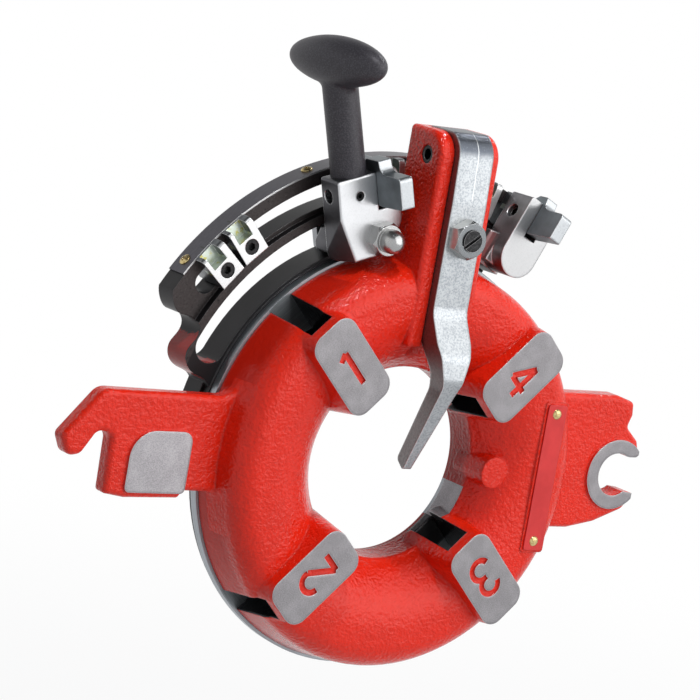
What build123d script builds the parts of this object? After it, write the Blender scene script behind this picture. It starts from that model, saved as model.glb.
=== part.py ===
from build123d import *
import os
from math import asin, cos, degrees, radians, sin, sqrt

# Pipe threading die head, about 380 mm wide, in millimetres.
# The origin is on the pipe axis in the plane of the numbered pads.
# +Y points to the back of the head and +Z up, along the post.
# Blocks round the rim are drawn at the top of the ring and then turned to their clock angle,
# which counts from +X towards +Z.

# Ring of the head
bore_r = 54.5
crest_r = 92.0
crest_y = 7.0
crest_flat = 7.5
rim_round = 14.0
rim_front_r = crest_r + crest_flat + rim_round
rim_draft = 3.3
rim_r = rim_front_r + rim_draft
lip_step = 1.7
lip_r = bore_r + lip_step
lip_y = 27.0
lip_chamfer = 2.0
head_back = 41.0

# Pads and die slots
pad_angles = (135, 225, 315, 45)
pad_inset = 0.3
pad_inner_r = bore_r + pad_inset
pad_rim_gap = 4.3
pad_length = rim_front_r - pad_rim_gap - pad_inner_r
pad_width = 29.3
pad_corner = 8.5
pad_draft = 8.0
pad_lip = 3.9
pad_bore_r = bore_r - pad_lip
slot_width = 15.2
slot_front = 6.5
digit_height = 21.4
digit_stroke = 3.6
digit_depth = 1.2
digit_inset = 1.3

# Latch through the post
cam_overhang = 1.5
cam_r = rim_r + cam_overhang
ring_front_step = 0.9
ring_front_r = cam_r + ring_front_step
ring_lip = 1.8
ring_r = ring_front_r + ring_lip
latch_rise = 10.9
latch_z = ring_r + latch_rise
latch_r = 4.0
latch_thread_r = 6.0
latch_nut_flats = 19.0
latch_nut_thick = 7.8
latch_front = -8.6
latch_slot_width = 1.8
latch_slot_depth = 2.2
latch_tip_gap = 0.3
latch_hole_depth = 6.0
latch_hole_gap = 0.4
latch_hole_play = 3.0
latch_side_play = 0.3
latch_nut_gap = 0.05
lever_tip_width = 5.0

# Post and trigger lever
post_width = 40.0
post_root_z = 70.0
pivot_rise = 41.0
pivot_z = latch_z + pivot_rise
pivot_y = 19.3
pivot_r = 5.0
pivot_bore_r = 3.1
pivot_length = 39.0
post_over_pivot = 14.1
post_top = pivot_z + post_over_pivot
post_front = 6.0
post_back = 38.6
post_round = 14.0
post_back_round = 2.0
post_edge = 3.0
lever_width = 22.6
lever_side_gap = 0.3
lever_thick = 15.0
lever_head_back = 32.5
lever_under_pivot = 14.9
lever_head_bottom = pivot_z - lever_under_pivot
lever_front = 0.3
lever_foot_y = 20.8
post_slot_floor = 34.8
lever_slot_floor = 18.5
running_gap = 0.06

# Hub, cam plate, size ring and flange
hub_wall = 17.5
hub_r = bore_r + hub_wall
axial_gap = 0.2
cam_thick = 5.3
cam_slot_width = 9.0
cam_slot_start_in = 7.5
cam_slot_middle_in = 15.5
cam_slot_end_in = 24.5
flange_step = 9.7
flange_r = hub_r + flange_step
flange_thick = 15.3
flange_bore_step = 0.5
flange_chamfer = 2.5
ring_disc_step = 1.3
ring_disc_r = cam_r - ring_disc_step
ring_groove_r = cam_r
ring_step = 3.5
ring_groove = 2.0
ring_body_r = 104.0
ring_web_left = 168.0
ring_web_right = 63.5
ring_back = 66.6
flange_screws = 6
flange_screw_in = 12.5
flange_screw_pcd_r = bore_r + flange_screw_in
flange_screw_r = 3.0
flange_screw_length = 22.0
flange_screw_head_r = 5.0
flange_screw_head = 6.0
flange_screw_socket = 2.9
flange_sink = 6.5
sink_side_gap = 0.4
cam_screw_in = 6.0
cam_screw_pcd_r = ring_body_r - cam_screw_in
cam_screw_r = 2.5
cam_screw_head_r = 4.2
cam_screw_head = 4.0
cam_screw_socket = 2.3
cam_screw_sink = 4.6
cam_screw_angles = (180, 225, 270, 315, 0, 35)

# Slotted sector on the size ring
block_gap = 18.6
middle_rim_inner = ring_r + block_gap
middle_rim_lip = 4.9
middle_rim_step = middle_rim_inner + middle_rim_lip
seat_ledge = 2.5
slot_inner = middle_rim_step + seat_ledge
slot_height = 12.3
slot_outer = slot_inner + slot_height
outer_rim = 7.0
outer_rim_r = slot_outer + outer_rim
lip_front = 47.2
seat_y = 52.0
seat_end_angle = 9.0
sector_left = 150.0
sector_right = 55.4
gap_left_end = 158.9
gap_open_angle = 20.0
slot_left_end = 146.9
slot_right_end = 59.4
spoke_left = 94.0
spoke_right = 86.0
size_bar_thick = 1.0
size_bar_left = 146.5
size_bar_right = 80.5
size_bar_screw_angles = (143.8, 113.9, 84.0)
size_bar_screw_r = 1.75
size_bar_screw_length = 4.0
size_bar_screw_head_r = 3.3
size_bar_screw_top_r = 2.6
size_bar_screw_edge = 1.3
size_bar_screw_head = 1.8

# Set blocks in the arc slot
set_block_width = 16.0
set_block_front = 44.0
set_block_low_gap = 1.1
set_block_inner = middle_rim_step + set_block_low_gap
set_block_rise = 0.3
set_block_outer = outer_rim_r + set_block_rise
set_block_round = 3.0
set_block_edge = 0.6
set_notch_depth = 8.6
set_notch_floor = set_block_outer - set_notch_depth
set_notch_left = -5.6
set_notch_right = 4.0
set_notch_back = 50.9
set_screw_in = 5.4
set_screw_pcd_r = slot_inner + set_screw_in
set_screw_r = 2.5
set_screw_head_r = 4.2
set_screw_head_gap = 0.15
set_screw_sink = 0.4
set_screw_head = 4.8
set_screw_socket_flats = 4.0
set_screw_socket_depth = 2.6
set_screw_tail = 0.6
set_nut_thick = 4.0
set_nut_width = 13.0
set_nut_height = 16.0
slot_side_gap = 0.5
slot_top_gap = 0.2
set_tenon_back_gap = 3.0
pair_step = 7.0
right_pair_step = 9.0
left_travel = 35.4

# Lever block with its handle, and the right block
left_angle = 108.0
left_front = 24.5
block_back = 40.8
block_rise = 0.1
block_top = outer_rim_r + block_rise
block_foot_gap = 1.6
block_foot = cam_r + block_foot_gap
block_left = -21.0
block_right = 18.8
block_edge = 1.2
cheek_blank = 14.0
catch_thick = 8.0
catch_slot_gap = 0.15
catch_horn = 6.6
catch_tab = 19.0
left_catch_x = 8.2
left_catch_slot = 20.8
left_catch_floor = block_top - left_catch_slot
catch_pin_r = 4.0
catch_pin_bore_r = 2.5
left_catch_pin_y = 34.7
left_catch_pin_in = 9.6
left_catch_pin_r = block_top - left_catch_pin_in
left_catch_pin_left = -14.0
left_catch_pin_right = 17.8
stud_x = 4.0
stud_rise = 8.8
stud_pos_r = ring_r + stud_rise
stud_r = 5.0
acorn_flats = 17.0
acorn_hex = 8.0
acorn_dome_r = 6.6
acorn_length = 17.5
stud_nut_depth = 14.0
tenon_low_gap = 1.2
tenon_inner = ring_r + tenon_low_gap
tenon_high_gap = 1.4
tenon_outer = middle_rim_inner - tenon_high_gap
tenon_back = 58.0
left_tenon_left = -17.0
left_tenon_right = 14.0
clamp_gap = 0.2
clamp_thick = 4.6
clamp_lap = 4.0
clamp_inner = ring_r - clamp_lap
clamp_outer = middle_rim_inner + clamp_lap
clamp_round = 3.0
left_clamp_half = 14.0
right_clamp_half = 12.0
handle_x = -7.0
handle_y = 34.2
stem_r = 9.7
stem_rise = 62.1
grip_r = block_top + stem_rise
grip_length = 73.6
grip_radius = 13.4
grip_turn = 7.0
grip_flat = 0.8
neck_round = 5.0
spigot_r = 6.0
spigot_length = 4.5
grub_x = -6.8
grub_drop = 1.1
grub_pos_r = left_catch_pin_r - grub_drop
grub_r = 2.6
grub_sink = 0.5
grub_socket_flats = 2.5
grub_socket_depth = 2.5
right_angle = 64.6
right_front = 22.5
right_back = 40.6
right_half = 12.5
right_foot_gap = 1.4
right_bottom = ring_r + right_foot_gap
right_tenon_left = 10.0
right_tenon_right = 6.5
right_apron = 15.6
right_apron_front = 36.8
right_apron_start = 31.5
right_apron_top = tenon_outer + 2.0
right_apron_low = 1.5
right_screw_r = 4.0
right_screw_flats = 13.0
right_screw_head = 5.3
right_screw_depth = 7.0
right_catch_pin_y = 32.7
right_catch_pin_in = 11.0
right_catch_pin_r = block_top - right_catch_pin_in
right_catch_pin_left = -10.5
right_catch_pin_right = 12.0
right_catch_slot = 21.0
right_catch_floor = block_top - right_catch_slot
right_stud_rise = 9.4
right_stud_r = ring_r + right_stud_rise

# Arms
arm_root = 100.0
pivot_arm_root = 96.0
hook_back = 38.0
pivot_arm_back = 34.5
arm_back_round = 1.5
hook_front = 27.5
hook_pad_front = 26.0
pivot_arm_front = 21.6
pivot_face_front = 20.0
pad_root = 2.0
pivot_hook_x = 155.0
pivot_hook_r = 12.6
pivot_hook_outer = 20.6
arm_round = 3.0

# Name plate
plate_inset = 0.5
plate_x = crest_r - plate_inset
plate_proud = 0.6
plate_front = crest_y - plate_proud
plate_length = 84.0
plate_width = 13.0
plate_border = 3.0
plate_thick = 0.9
rivet_spacing = 73.6
rivet_r = 2.75
rivet_shank_r = 1.5
rivet_length = 7.0


def from_front(sketch, front, back):
    # A slab with its outline in X and Z
    plane = Plane(origin=(0, back, 0), x_dir=(1, 0, 0), z_dir=(0, -1, 0))
    return extrude(plane * sketch, amount=back - front)


def from_side(sketch, left, right):
    # A slab with its outline in Y and Z
    return extrude(Plane.YZ.offset(left) * sketch, amount=right - left)


def to_angle(shape, angle):
    # Turns what was drawn at the top of the ring to its clock angle
    return Rot(0, 90 - angle, 0) * shape


def rod(radius, x, z, front, back):
    return from_front(Pos(x, z) * Circle(radius), front, back)


def turned(points):
    # Closed outline of radius and depth, spun about the pipe axis
    outline = make_face(Polyline(*points, close=True))
    return revolve(outline, Axis.Y)


def polar(radius, angle):
    return (radius * cos(radians(angle)), radius * sin(radians(angle)))


def rounded_outline(points, radii):
    # A straight-sided outline whose corners each get their own radius
    face = make_face(Polyline(*points, close=True))
    for point, radius in zip(points, radii):
        if radius:
            corner = face.vertices().sort_by_distance((point[0], point[1], 0))[0]
            face = fillet(corner, radius)
    return face


def arc_band(inner, outer, start, end):
    # Part of a flat ring between two clock angles
    middle = (start + end) / 2
    edges = [
        ThreePointArc(polar(outer, start), polar(outer, middle), polar(outer, end)),
        Line(polar(outer, end), polar(inner, end)),
        ThreePointArc(polar(inner, end), polar(inner, middle), polar(inner, start)),
        Line(polar(inner, start), polar(outer, start)),
    ]
    return make_face(Wire(edges))


def round_slot(inner, outer, start, end):
    # Arc slot with round ends that reach the two clock angles
    middle_r = (inner + outer) / 2
    end_angle = degrees((outer - inner) / 2 / middle_r)
    first = start + end_angle
    last = end - end_angle
    half = (first + last) / 2
    path = ThreePointArc(polar(middle_r, first), polar(middle_r, half), polar(middle_r, last))
    return SlotArc(path, outer - inner)


def ring_body():
    rim_turn = (rim_front_r - rim_round, crest_y + rim_round)
    slope_r = ((crest_r - lip_r) ** 2 + (lip_y - crest_y) ** 2) / (2 * (lip_y - crest_y))
    slope_mid_r = (crest_r + lip_r) / 2
    slope_mid_y = crest_y + slope_r - sqrt(slope_r ** 2 - (crest_r - slope_mid_r) ** 2)
    diagonal = rim_round * cos(radians(45))
    edges = [
        ThreePointArc((lip_r, lip_y), (slope_mid_r, slope_mid_y), (crest_r, crest_y)),
        Line((crest_r, crest_y), (rim_turn[0], crest_y)),
        ThreePointArc(
            (rim_turn[0], crest_y),
            (rim_turn[0] + diagonal, rim_turn[1] - diagonal),
            (rim_front_r, rim_turn[1]),
        ),
        Line((rim_front_r, rim_turn[1]), (rim_r, head_back)),
        Line((rim_r, head_back), (hub_r, head_back)),
        Line((hub_r, head_back), (hub_r, hub_end())),
        Line((hub_r, hub_end()), (bore_r, hub_end())),
        Line((bore_r, hub_end()), (bore_r, lip_y + lip_chamfer)),
        Line((bore_r, lip_y + lip_chamfer), (lip_r, lip_y)),
    ]
    return revolve(make_face(Wire(edges)), Axis.Y)


def hub_end():
    return head_back + axial_gap + cam_thick + axial_gap


def cam_back():
    return head_back + axial_gap + cam_thick


def pad_boss():
    # Drafted block under a pad, widening from the pad's face towards the back
    plane = Plane(origin=(0, 0, 0), x_dir=(1, 0, 0), z_dir=(0, 1, 0))
    middle = pad_inner_r + pad_length / 2
    outline = plane * Pos(0, -middle) * RectangleRounded(pad_width, pad_length, pad_corner)
    return extrude(outline, amount=head_back - 1, taper=-pad_draft)


def soft_edges(body, radius, depth):
    # Rounds the cast outline round one face
    rim = body.edges().filter_by_position(Axis.Y, depth - 0.01, depth + 0.01)
    return fillet(rim, radius)


def left_arm():
    outline = rounded_outline(
        [(-arm_root, 56), (-112, 32.5), (-150, 33), (-190, 33.5), (-211, 8), (-206, -3),
         (-198, -1.5), (-190, 11), (-181.5, 11), (-181, -22), (-168, -24), (-135, -23.5),
         (-132, -19.5), (-114, -19.5), (-arm_root, -40)],
        [0, 10, 0, 9, 4, 5, 5, 5, 5, 2, 4, 1.5, 1, 8, 0])
    slab = soft_edges(from_front(outline, hook_front, hook_back), arm_round, hook_front)
    return soft_edges(slab, arm_back_round, hook_back)


def left_pad():
    return rounded_outline(
        [(-170, -20.5), (-170, 13), (-133, 13), (-133, -20.5)],
        [3, 15, 6, 3])


def right_arm():
    outline = rounded_outline(
        [(pivot_arm_root, 58), (108, 46), (149, 46), (161.5, 42.5), (162.5, 35), (160.0, 27.7),
         (169.4, 19.8), (172, 12), (172, -14), (166.7, -21.1), (147, -29.1), (128, -33),
         (112, -33), (pivot_arm_root, -49)],
        [0, 6, 5, 3, 3, 3, 3, 2, 3, 6, 8, 8, 6, 0])
    slab = soft_edges(from_front(outline, pivot_arm_front, pivot_arm_back), arm_round,
                      pivot_arm_front)
    return soft_edges(slab, arm_back_round, pivot_arm_back)


def pivot_collar():
    # Machined C face, as wide as the arm behind it
    ring = Pos(pivot_hook_x, 0) * Circle(pivot_hook_outer)
    tip = pivot_hook_x + 15
    return ring - Pos(tip + 10, 0) * Rectangle(20, 50)


def hook_mouth():
    # Opening of the C, with its rounded lips
    return rounded_outline(
        [(pivot_hook_x, 12), (pivot_hook_x + 8.4, 10.6), (pivot_hook_x + 13.5, 10.6),
         (pivot_hook_x + 25, 22), (pivot_hook_x + 25, -18), (pivot_hook_x + 15, -10.6),
         (pivot_hook_x + 7.5, -9.8), (pivot_hook_x, -6)],
        [0, 6, 3, 0, 0, 2.5, 2, 0])


def digit_strokes(number):
    # Strokes of a plain numeral about its own centre, top along +Y
    tall = digit_height / 2
    wide = digit_height * 0.27
    if number == 1:
        return [Line((0.6, -tall), (0.6, tall)), Line((0.6, tall), (-wide * 0.7, tall * 0.72))]
    if number == 2:
        top = tall - wide
        bend = ThreePointArc((-wide, top), (0.4, tall), (wide, top * 0.75))
        return [bend, Line((wide, top * 0.75), (-wide, -tall)), Line((-wide, -tall), (wide, -tall))]
    if number == 3:
        upper = ThreePointArc((-wide, tall * 0.62), (wide * 0.9, tall * 0.5), (-wide * 0.2, 0))
        lower = ThreePointArc((-wide * 0.2, 0), (wide, -tall * 0.5), (-wide, -tall * 0.68))
        return [upper, lower]
    stem = Line((wide * 0.5, -tall), (wide * 0.5, tall))
    slope = Line((wide * 0.5, tall), (-wide, -tall * 0.35))
    return [stem, slope, Line((-wide, -tall * 0.35), (wide * 1.2, -tall * 0.35))]


def digit(number):
    strokes = Sketch() + [trace(stroke, digit_stroke) for stroke in digit_strokes(number)]
    middle = pad_inner_r + pad_length / 2 - digit_inset
    return from_front(Pos(0, middle) * strokes, -1, digit_depth)


def post():
    outline = rounded_outline(
        [(post_front, post_root_z), (post_front, post_top), (post_back, post_top),
         (post_back, post_root_z)],
        [0, post_round, post_back_round, 0])
    half = post_width / 2
    block = from_side(outline, -half, half)
    sides = block.edges().filter_by_position(Axis.X, half - 0.01, half + 0.01)
    sides += block.edges().filter_by_position(Axis.X, -half - 0.01, -half + 0.01)
    return fillet(sides.filter_by_position(Axis.Z, post_root_z + 1, post_top + 1), post_edge)


def lever_channel():
    # The slot that the trigger lever swings in, seen from the side
    outline = make_face(Polyline(
        (-20, 40), (-20, post_top + 10), (post_slot_floor, post_top + 10),
        (post_slot_floor, lever_head_bottom - 8), (lever_slot_floor, lever_head_bottom - 24),
        (lever_slot_floor, 40), close=True))
    half = lever_width / 2 + lever_side_gap
    return from_side(outline, -half, half)


def head_casting():
    body = ring_body() + post()
    bosses = [to_angle(pad_boss(), angle) for angle in pad_angles]
    body += bosses
    body += left_arm() + from_front(left_pad(), hook_pad_front, hook_back - pad_root)
    body += right_arm() + from_front(pivot_collar(), pivot_face_front,
                                     pivot_arm_back - pad_root)
    body += rod(9, 60.5, 0, 13, head_back - 1)
    body += from_front(
        Pos(plate_x, 0) * RectangleRounded(plate_width + plate_border,
                                           plate_length + plate_border, 2), plate_front, 20)
    body -= rod(pad_bore_r, 0, 0, -5, hub_end() + 5)
    body -= from_front(Circle(bore_r), head_back - 1, hub_end() + 1)
    half_slot = slot_width / 2
    slot = from_front(
        Pos(0, (pad_bore_r + rim_r) / 2) * Rectangle(slot_width, rim_r - pad_bore_r + 30),
        slot_front, head_back + 0.01)
    for number, angle in enumerate(pad_angles, start=1):
        body -= to_angle(slot, angle)
        body -= to_angle(digit(number), angle)
    body -= lever_channel()
    body -= from_side(Pos(pivot_y, pivot_z) * Circle(pivot_r), -post_width, post_width)
    body -= rod(latch_r + running_gap, 0, latch_z, -20, 60)
    body -= rivet_holes()
    body -= flange_screw_holes()
    body -= rod(pivot_hook_r, pivot_hook_x, 0, 0, 60)
    body -= from_front(hook_mouth(), 0, 60)
    return body


def name_plate():
    outline = Pos(plate_x, 0) * RectangleRounded(plate_width, plate_length, 1.5)
    for side in (-1, 1):
        outline -= Pos(plate_x, side * rivet_spacing / 2) * Circle(rivet_shank_r)
    return from_front(outline, plate_front - plate_thick, plate_front)


def plate_rivets():
    rivets = []
    for side in (-1, 1):
        height = rivet_r * 0.45
        head = turned([(0, 0), (rivet_r, 0), (rivet_r * 0.8, -height * 0.75), (0, -height)])
        shank = rod(rivet_shank_r, 0, 0, 0, rivet_length)
        whole = Pos(plate_x, plate_front - plate_thick, side * rivet_spacing / 2) * (head + shank)
        rivets.append(whole)
    return rivets


def rivet_holes():
    holes = Part()
    for side in (-1, 1):
        holes += rod(rivet_shank_r, plate_x, side * rivet_spacing / 2, plate_front - 5,
                     plate_front - plate_thick + rivet_length)
    return holes


def trigger_pivot_pin():
    outline = Pos(pivot_y, pivot_z) * (Circle(pivot_r) - Circle(pivot_bore_r))
    return from_side(outline, -pivot_length / 2, pivot_length / 2)


def lever_side_outline():
    # The forged bar hangs in the post, bends forward and then dips into the bore
    front = lever_front
    back = front + lever_thick
    return rounded_outline(
        [(9.5, post_top + 0.5), (1.6, post_top - 6), (front, 150), (front, 90), (-12.5, 68),
         (-13.6, 54), (14.2, -0.6), (lever_foot_y, 4.6), (0.6, 48.5), (-1.5, 58.5),
         (back, 86), (back, lever_head_bottom - 10), (lever_head_back, lever_head_bottom),
         (lever_head_back, post_top + 0.5)],
        [4, 14, 20, 14, 12, 10, 1.5, 3, 14, 8, 12, 8, 6, 2])


def lever_front_outline():
    half = lever_width / 2
    tip = lever_tip_width / 2
    return rounded_outline(
        [(-half, post_top + 1), (half, post_top + 1), (half, 75), (8.2, 62), (5.2, 50),
         (tip, -1), (-tip, -1), (-5.2, 50), (-8.2, 62), (-half, 75)],
        [0, 0, 14, 0, 20, 1.5, 1.5, 20, 0, 14])


def trigger_lever():
    half = lever_width / 2
    bar = from_side(lever_side_outline(), -half, half)
    bar &= from_front(lever_front_outline(), -30, 45)
    bar -= from_side(Pos(pivot_y, pivot_z) * Circle(pivot_r + running_gap), -half - 1, half + 1)
    play = latch_hole_play
    hole = Pos(0, latch_z - play / 2) * Rot(0, 0, 90) * SlotOverall(
        2 * (latch_thread_r + latch_side_play) + play, 2 * (latch_thread_r + latch_side_play))
    return bar - from_front(hole, -10, lever_front + lever_thick + 5)


def latch_pin():
    shoulder = lever_front + lever_thick + 2
    pin = rod(latch_thread_r, 0, latch_z, latch_front, shoulder)
    pin += rod(latch_r, 0, latch_z, shoulder, lip_front - latch_tip_gap)
    slot_outline = Rot(0, 0, 38) * Rectangle(2 * latch_thread_r + 1, latch_slot_width)
    slot = from_front(Pos(0, latch_z) * slot_outline, latch_front - 1,
                      latch_front + latch_slot_depth)
    return pin - slot


def hexagon(flats):
    return RegularPolygon(flats / 2, 6, major_radius=False)


def hex_nut(flats, thick, hole_r):
    # Nut at the origin with its front face at -thick, corners chamfered at the front
    prism = from_front(hexagon(flats), -thick, 0)
    corner = flats / sqrt(3)
    skirt = turned([(0, 0.01), (corner + 0.01, 0.01), (corner + 0.01, -thick * 0.75),
                    (flats / 2 - 0.2, -thick), (0, -thick)])
    return (prism & skirt) - rod(hole_r, 0, 0, -thick - 1, 1)


def latch_nut():
    nut = hex_nut(latch_nut_flats, latch_nut_thick, latch_thread_r)
    return Pos(0, lever_front - latch_nut_gap, latch_z) * Rot(0, 30, 0) * nut


def cam_plate():
    back = cam_back()
    front = back - cam_thick
    disc = Circle(cam_r) - Circle(hub_r + running_gap)
    for angle in pad_angles:
        start = Vector(*polar(hub_r + cam_slot_start_in, angle - 34))
        middle = Vector(*polar(hub_r + cam_slot_middle_in, angle - 4))
        end = Vector(*polar(hub_r + cam_slot_end_in, angle + 22))
        disc -= SlotArc(ThreePointArc(start, middle, end), cam_slot_width)
    for angle in cam_screw_angles:
        disc -= Pos(*polar(cam_screw_pcd_r, angle)) * Circle(cam_screw_r)
    return from_front(disc, front, back)


def cap_screw(head_r, head_thick, shank_r, shank_length, socket_r):
    # Cap screw at the origin: head behind its seat at Y 0, shank towards the front
    screw = rod(head_r, 0, 0, 0, head_thick) + rod(shank_r, 0, 0, -shank_length, 0)
    return screw - from_front(hexagon(socket_r * sqrt(3)), head_thick * 0.45, head_thick + 1)


def cam_screws():
    screws = []
    for angle in cam_screw_angles:
        x, z = polar(cam_screw_pcd_r, angle)
        seat = ring_back - cam_screw_sink
        shank = seat - cam_back() + cam_thick - 0.5
        screw = cap_screw(cam_screw_head_r, cam_screw_head, cam_screw_r, shank, cam_screw_socket)
        screws.append(Pos(x, seat, z) * screw)
    return screws


def size_ring():
    back = cam_back()
    ring = turned([
        (flange_r + running_gap, back), (ring_disc_r, back), (ring_disc_r, back + ring_step),
        (ring_body_r, back + ring_step + 1), (ring_body_r, ring_back - 1),
        (ring_body_r - 1, ring_back), (flange_r + running_gap, ring_back)])
    # Only the sector stands out to the full radius, with a groove behind its front edge
    rim = turned([
        (ring_body_r - 5, back), (ring_front_r, back), (ring_front_r, back + ring_step),
        (ring_groove_r, back + ring_step), (ring_groove_r, back + ring_step + ring_groove),
        (ring_r, back + ring_step + ring_groove), (ring_r, ring_back),
        (ring_body_r - 5, ring_back)])
    wedge = arc_band(ring_body_r - 8, ring_r + 1, ring_web_right, ring_web_left)
    ring += rim & from_front(wedge, back, ring_back)
    ring += from_front(sector_outline(), lip_front, ring_back)
    # The seat of the set blocks lies behind the lip of the middle rim
    seat = arc_band(middle_rim_step, outer_rim_r + 20, gap_left_end + seat_end_angle,
                    sector_right - seat_end_angle)
    ring -= from_front(seat, lip_front - 1, seat_y)
    ring -= through_ring(round_slot(ring_r, middle_rim_inner, spoke_left, gap_left_end))
    # The gap under the right block is open at the end of the sector
    beyond = sector_right - gap_open_angle
    ring -= through_ring(round_slot(ring_r, middle_rim_inner, beyond, spoke_right))
    ring -= through_ring(arc_band(ring_disc_r + 0.5, ring_r + 1, beyond, ring_web_right))
    ring -= through_ring(round_slot(slot_inner, slot_outer, slot_right_end, slot_left_end))
    ring -= rod(latch_r + latch_hole_gap, 0, latch_z, lip_front - 1, lip_front + latch_hole_depth)
    for angle in cam_screw_angles:
        x, z = polar(cam_screw_pcd_r, angle)
        ring -= rod(cam_screw_r, x, z, back - 1, ring_back + 1)
        ring -= rod(cam_screw_head_r + sink_side_gap, x, z, ring_back - cam_screw_sink,
                    ring_back + 1)
    for angle in size_bar_screw_angles:
        ring -= to_angle(radial_rod(size_bar_screw_r, outer_rim_r - size_bar_screw_length,
                                    outer_rim_r + 1), angle)
    return ring


def through_ring(sketch):
    return from_front(sketch, lip_front - 1, ring_back + 1)


def radial_rod(radius, inner, outer):
    y = (seat_y + ring_back) / 2
    return Pos(0, y, 0) * extrude(Plane.XY.offset(inner) * Circle(radius), amount=outer - inner)


def sector_outline():
    # The sector, with the two lobes of its left end and the web down to the ring
    inner = ring_r - 8
    outer = outer_rim_r
    middle = middle_rim_inner
    left = [(outer, 0), (outer - 4.3, 1.6), (outer - 11.3, 2.6), (outer - 19.3, 1.8),
            (outer - 24.3, 2.8), (outer - 25.9, 5.2), (middle + 2.2, 8.4), (middle - 0.8, 10.9),
            (ring_r + 10, 12.3), (ring_r + 2.5, 12.6), (ring_r - 4, 15.5),
            (inner, ring_web_left - sector_left)]
    edge = Spline(*[polar(radius, sector_left + angle) for radius, angle in left])
    start = polar(outer_rim_r, sector_left)
    end_r = polar(outer_rim_r, sector_right)
    top = polar(outer_rim_r, (sector_left + sector_right) / 2)
    inner_end = polar(inner, sector_right)
    inner_middle = polar(inner, (ring_web_left + sector_right) / 2)
    edges = [
        edge,
        ThreePointArc(polar(inner, ring_web_left), inner_middle, inner_end),
        Line(inner_end, end_r),
        ThreePointArc(end_r, top, start),
    ]
    return make_face(Wire(edges))


def size_bar():
    band = arc_band(outer_rim_r, outer_rim_r + size_bar_thick, size_bar_left, size_bar_right)
    bar = from_front(band, seat_y, ring_back)
    for angle in size_bar_screw_angles:
        bar -= to_angle(radial_rod(size_bar_screw_r, outer_rim_r - 1, outer_rim_r + 3), angle)
    return bar


def size_bar_screws():
    screws = []
    seat = outer_rim_r + size_bar_thick
    y = (seat_y + ring_back) / 2
    for angle in size_bar_screw_angles:
        shank = radial_rod(size_bar_screw_r, outer_rim_r - size_bar_screw_length, seat)
        profile = make_face(Polyline(
            (0, seat), (size_bar_screw_head_r, seat),
            (size_bar_screw_top_r, seat + size_bar_screw_edge), (0, seat + size_bar_screw_head),
            close=True))
        head = Pos(0, y, 0) * revolve(Plane.XZ * profile, Axis.Z)
        screws.append(to_angle(head + shank, angle))
    return screws


def set_block_angles():
    # Two blocks at the left, two by the lever block and two by the right block. The third and
    # the last have their notches under the catches.
    notch = degrees(asin((set_notch_left + set_notch_right) / 2 / set_block_outer))
    third = left_catch_angle() + notch
    last = right_angle + notch
    return (third + left_travel, third + left_travel - pair_step, third, third - pair_step,
            last + right_pair_step, last)


def left_catch_angle():
    return left_angle - degrees(asin(left_catch_x / set_block_outer))


def set_block():
    half = set_block_width / 2
    side = rounded_outline(
        [(set_block_front, set_block_inner), (set_block_front, set_block_outer),
         (seat_y, set_block_outer), (seat_y, set_block_inner)],
        [set_block_edge, set_block_round, 0, 0])
    block = from_side(side, -half, half)
    low = slot_inner + slot_side_gap
    high = sqrt(slot_outer ** 2 - half ** 2) - slot_top_gap
    key = Pos(0, (low + high) / 2) * Rectangle(set_block_width, high - low)
    block += from_front(key, seat_y - 0.5, ring_back - set_tenon_back_gap)
    notch_middle = (set_notch_left + set_notch_right) / 2
    notch_height = set_block_outer - set_notch_floor
    notch = Pos(notch_middle, set_notch_floor + notch_height) * Rectangle(
        set_notch_right - set_notch_left, 2 * notch_height)
    block -= from_front(notch, set_block_front - 1, set_notch_back)
    hole = rod(set_screw_r, 0, set_screw_pcd_r, set_block_front - 1, ring_back + 1)
    sink = rod(set_screw_head_r + set_screw_head_gap, 0, set_screw_pcd_r, set_block_front - 1,
               set_block_front + set_screw_sink + set_screw_head)
    return block - hole - sink


def set_block_screws():
    screws = []
    front = set_block_front + set_screw_sink
    seat = front + set_screw_head
    for angle in set_block_angles():
        head = rod(set_screw_head_r, 0, set_screw_pcd_r, front, seat)
        head -= from_front(Pos(0, set_screw_pcd_r) * hexagon(set_screw_socket_flats), front - 1,
                           front + set_screw_socket_depth)
        shank = rod(set_screw_r, 0, set_screw_pcd_r, seat,
                    ring_back + set_nut_thick + set_screw_tail)
        screws.append(to_angle(head + shank, angle))
    return screws


def set_block_nuts():
    nuts = []
    middle = (slot_inner + slot_outer) / 2
    for angle in set_block_angles():
        outline = Pos(0, middle) * RectangleRounded(set_nut_width, set_nut_height, 1)
        plate = from_front(outline, ring_back, ring_back + set_nut_thick)
        plate -= rod(set_screw_r, 0, set_screw_pcd_r, ring_back - 1,
                     ring_back + set_nut_thick + 1)
        nuts.append(to_angle(plate, angle))
    return nuts


def tenon(left, right, front):
    # Foot of a block that runs in the wide gap of the sector
    side = make_face(Polyline(
        (front, tenon_inner), (tenon_back, tenon_inner), (tenon_back, tenon_inner + 4.8),
        (seat_y - 1, tenon_outer - 2.7), (front, tenon_outer), close=True))
    return from_side(side, left, right)


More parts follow.
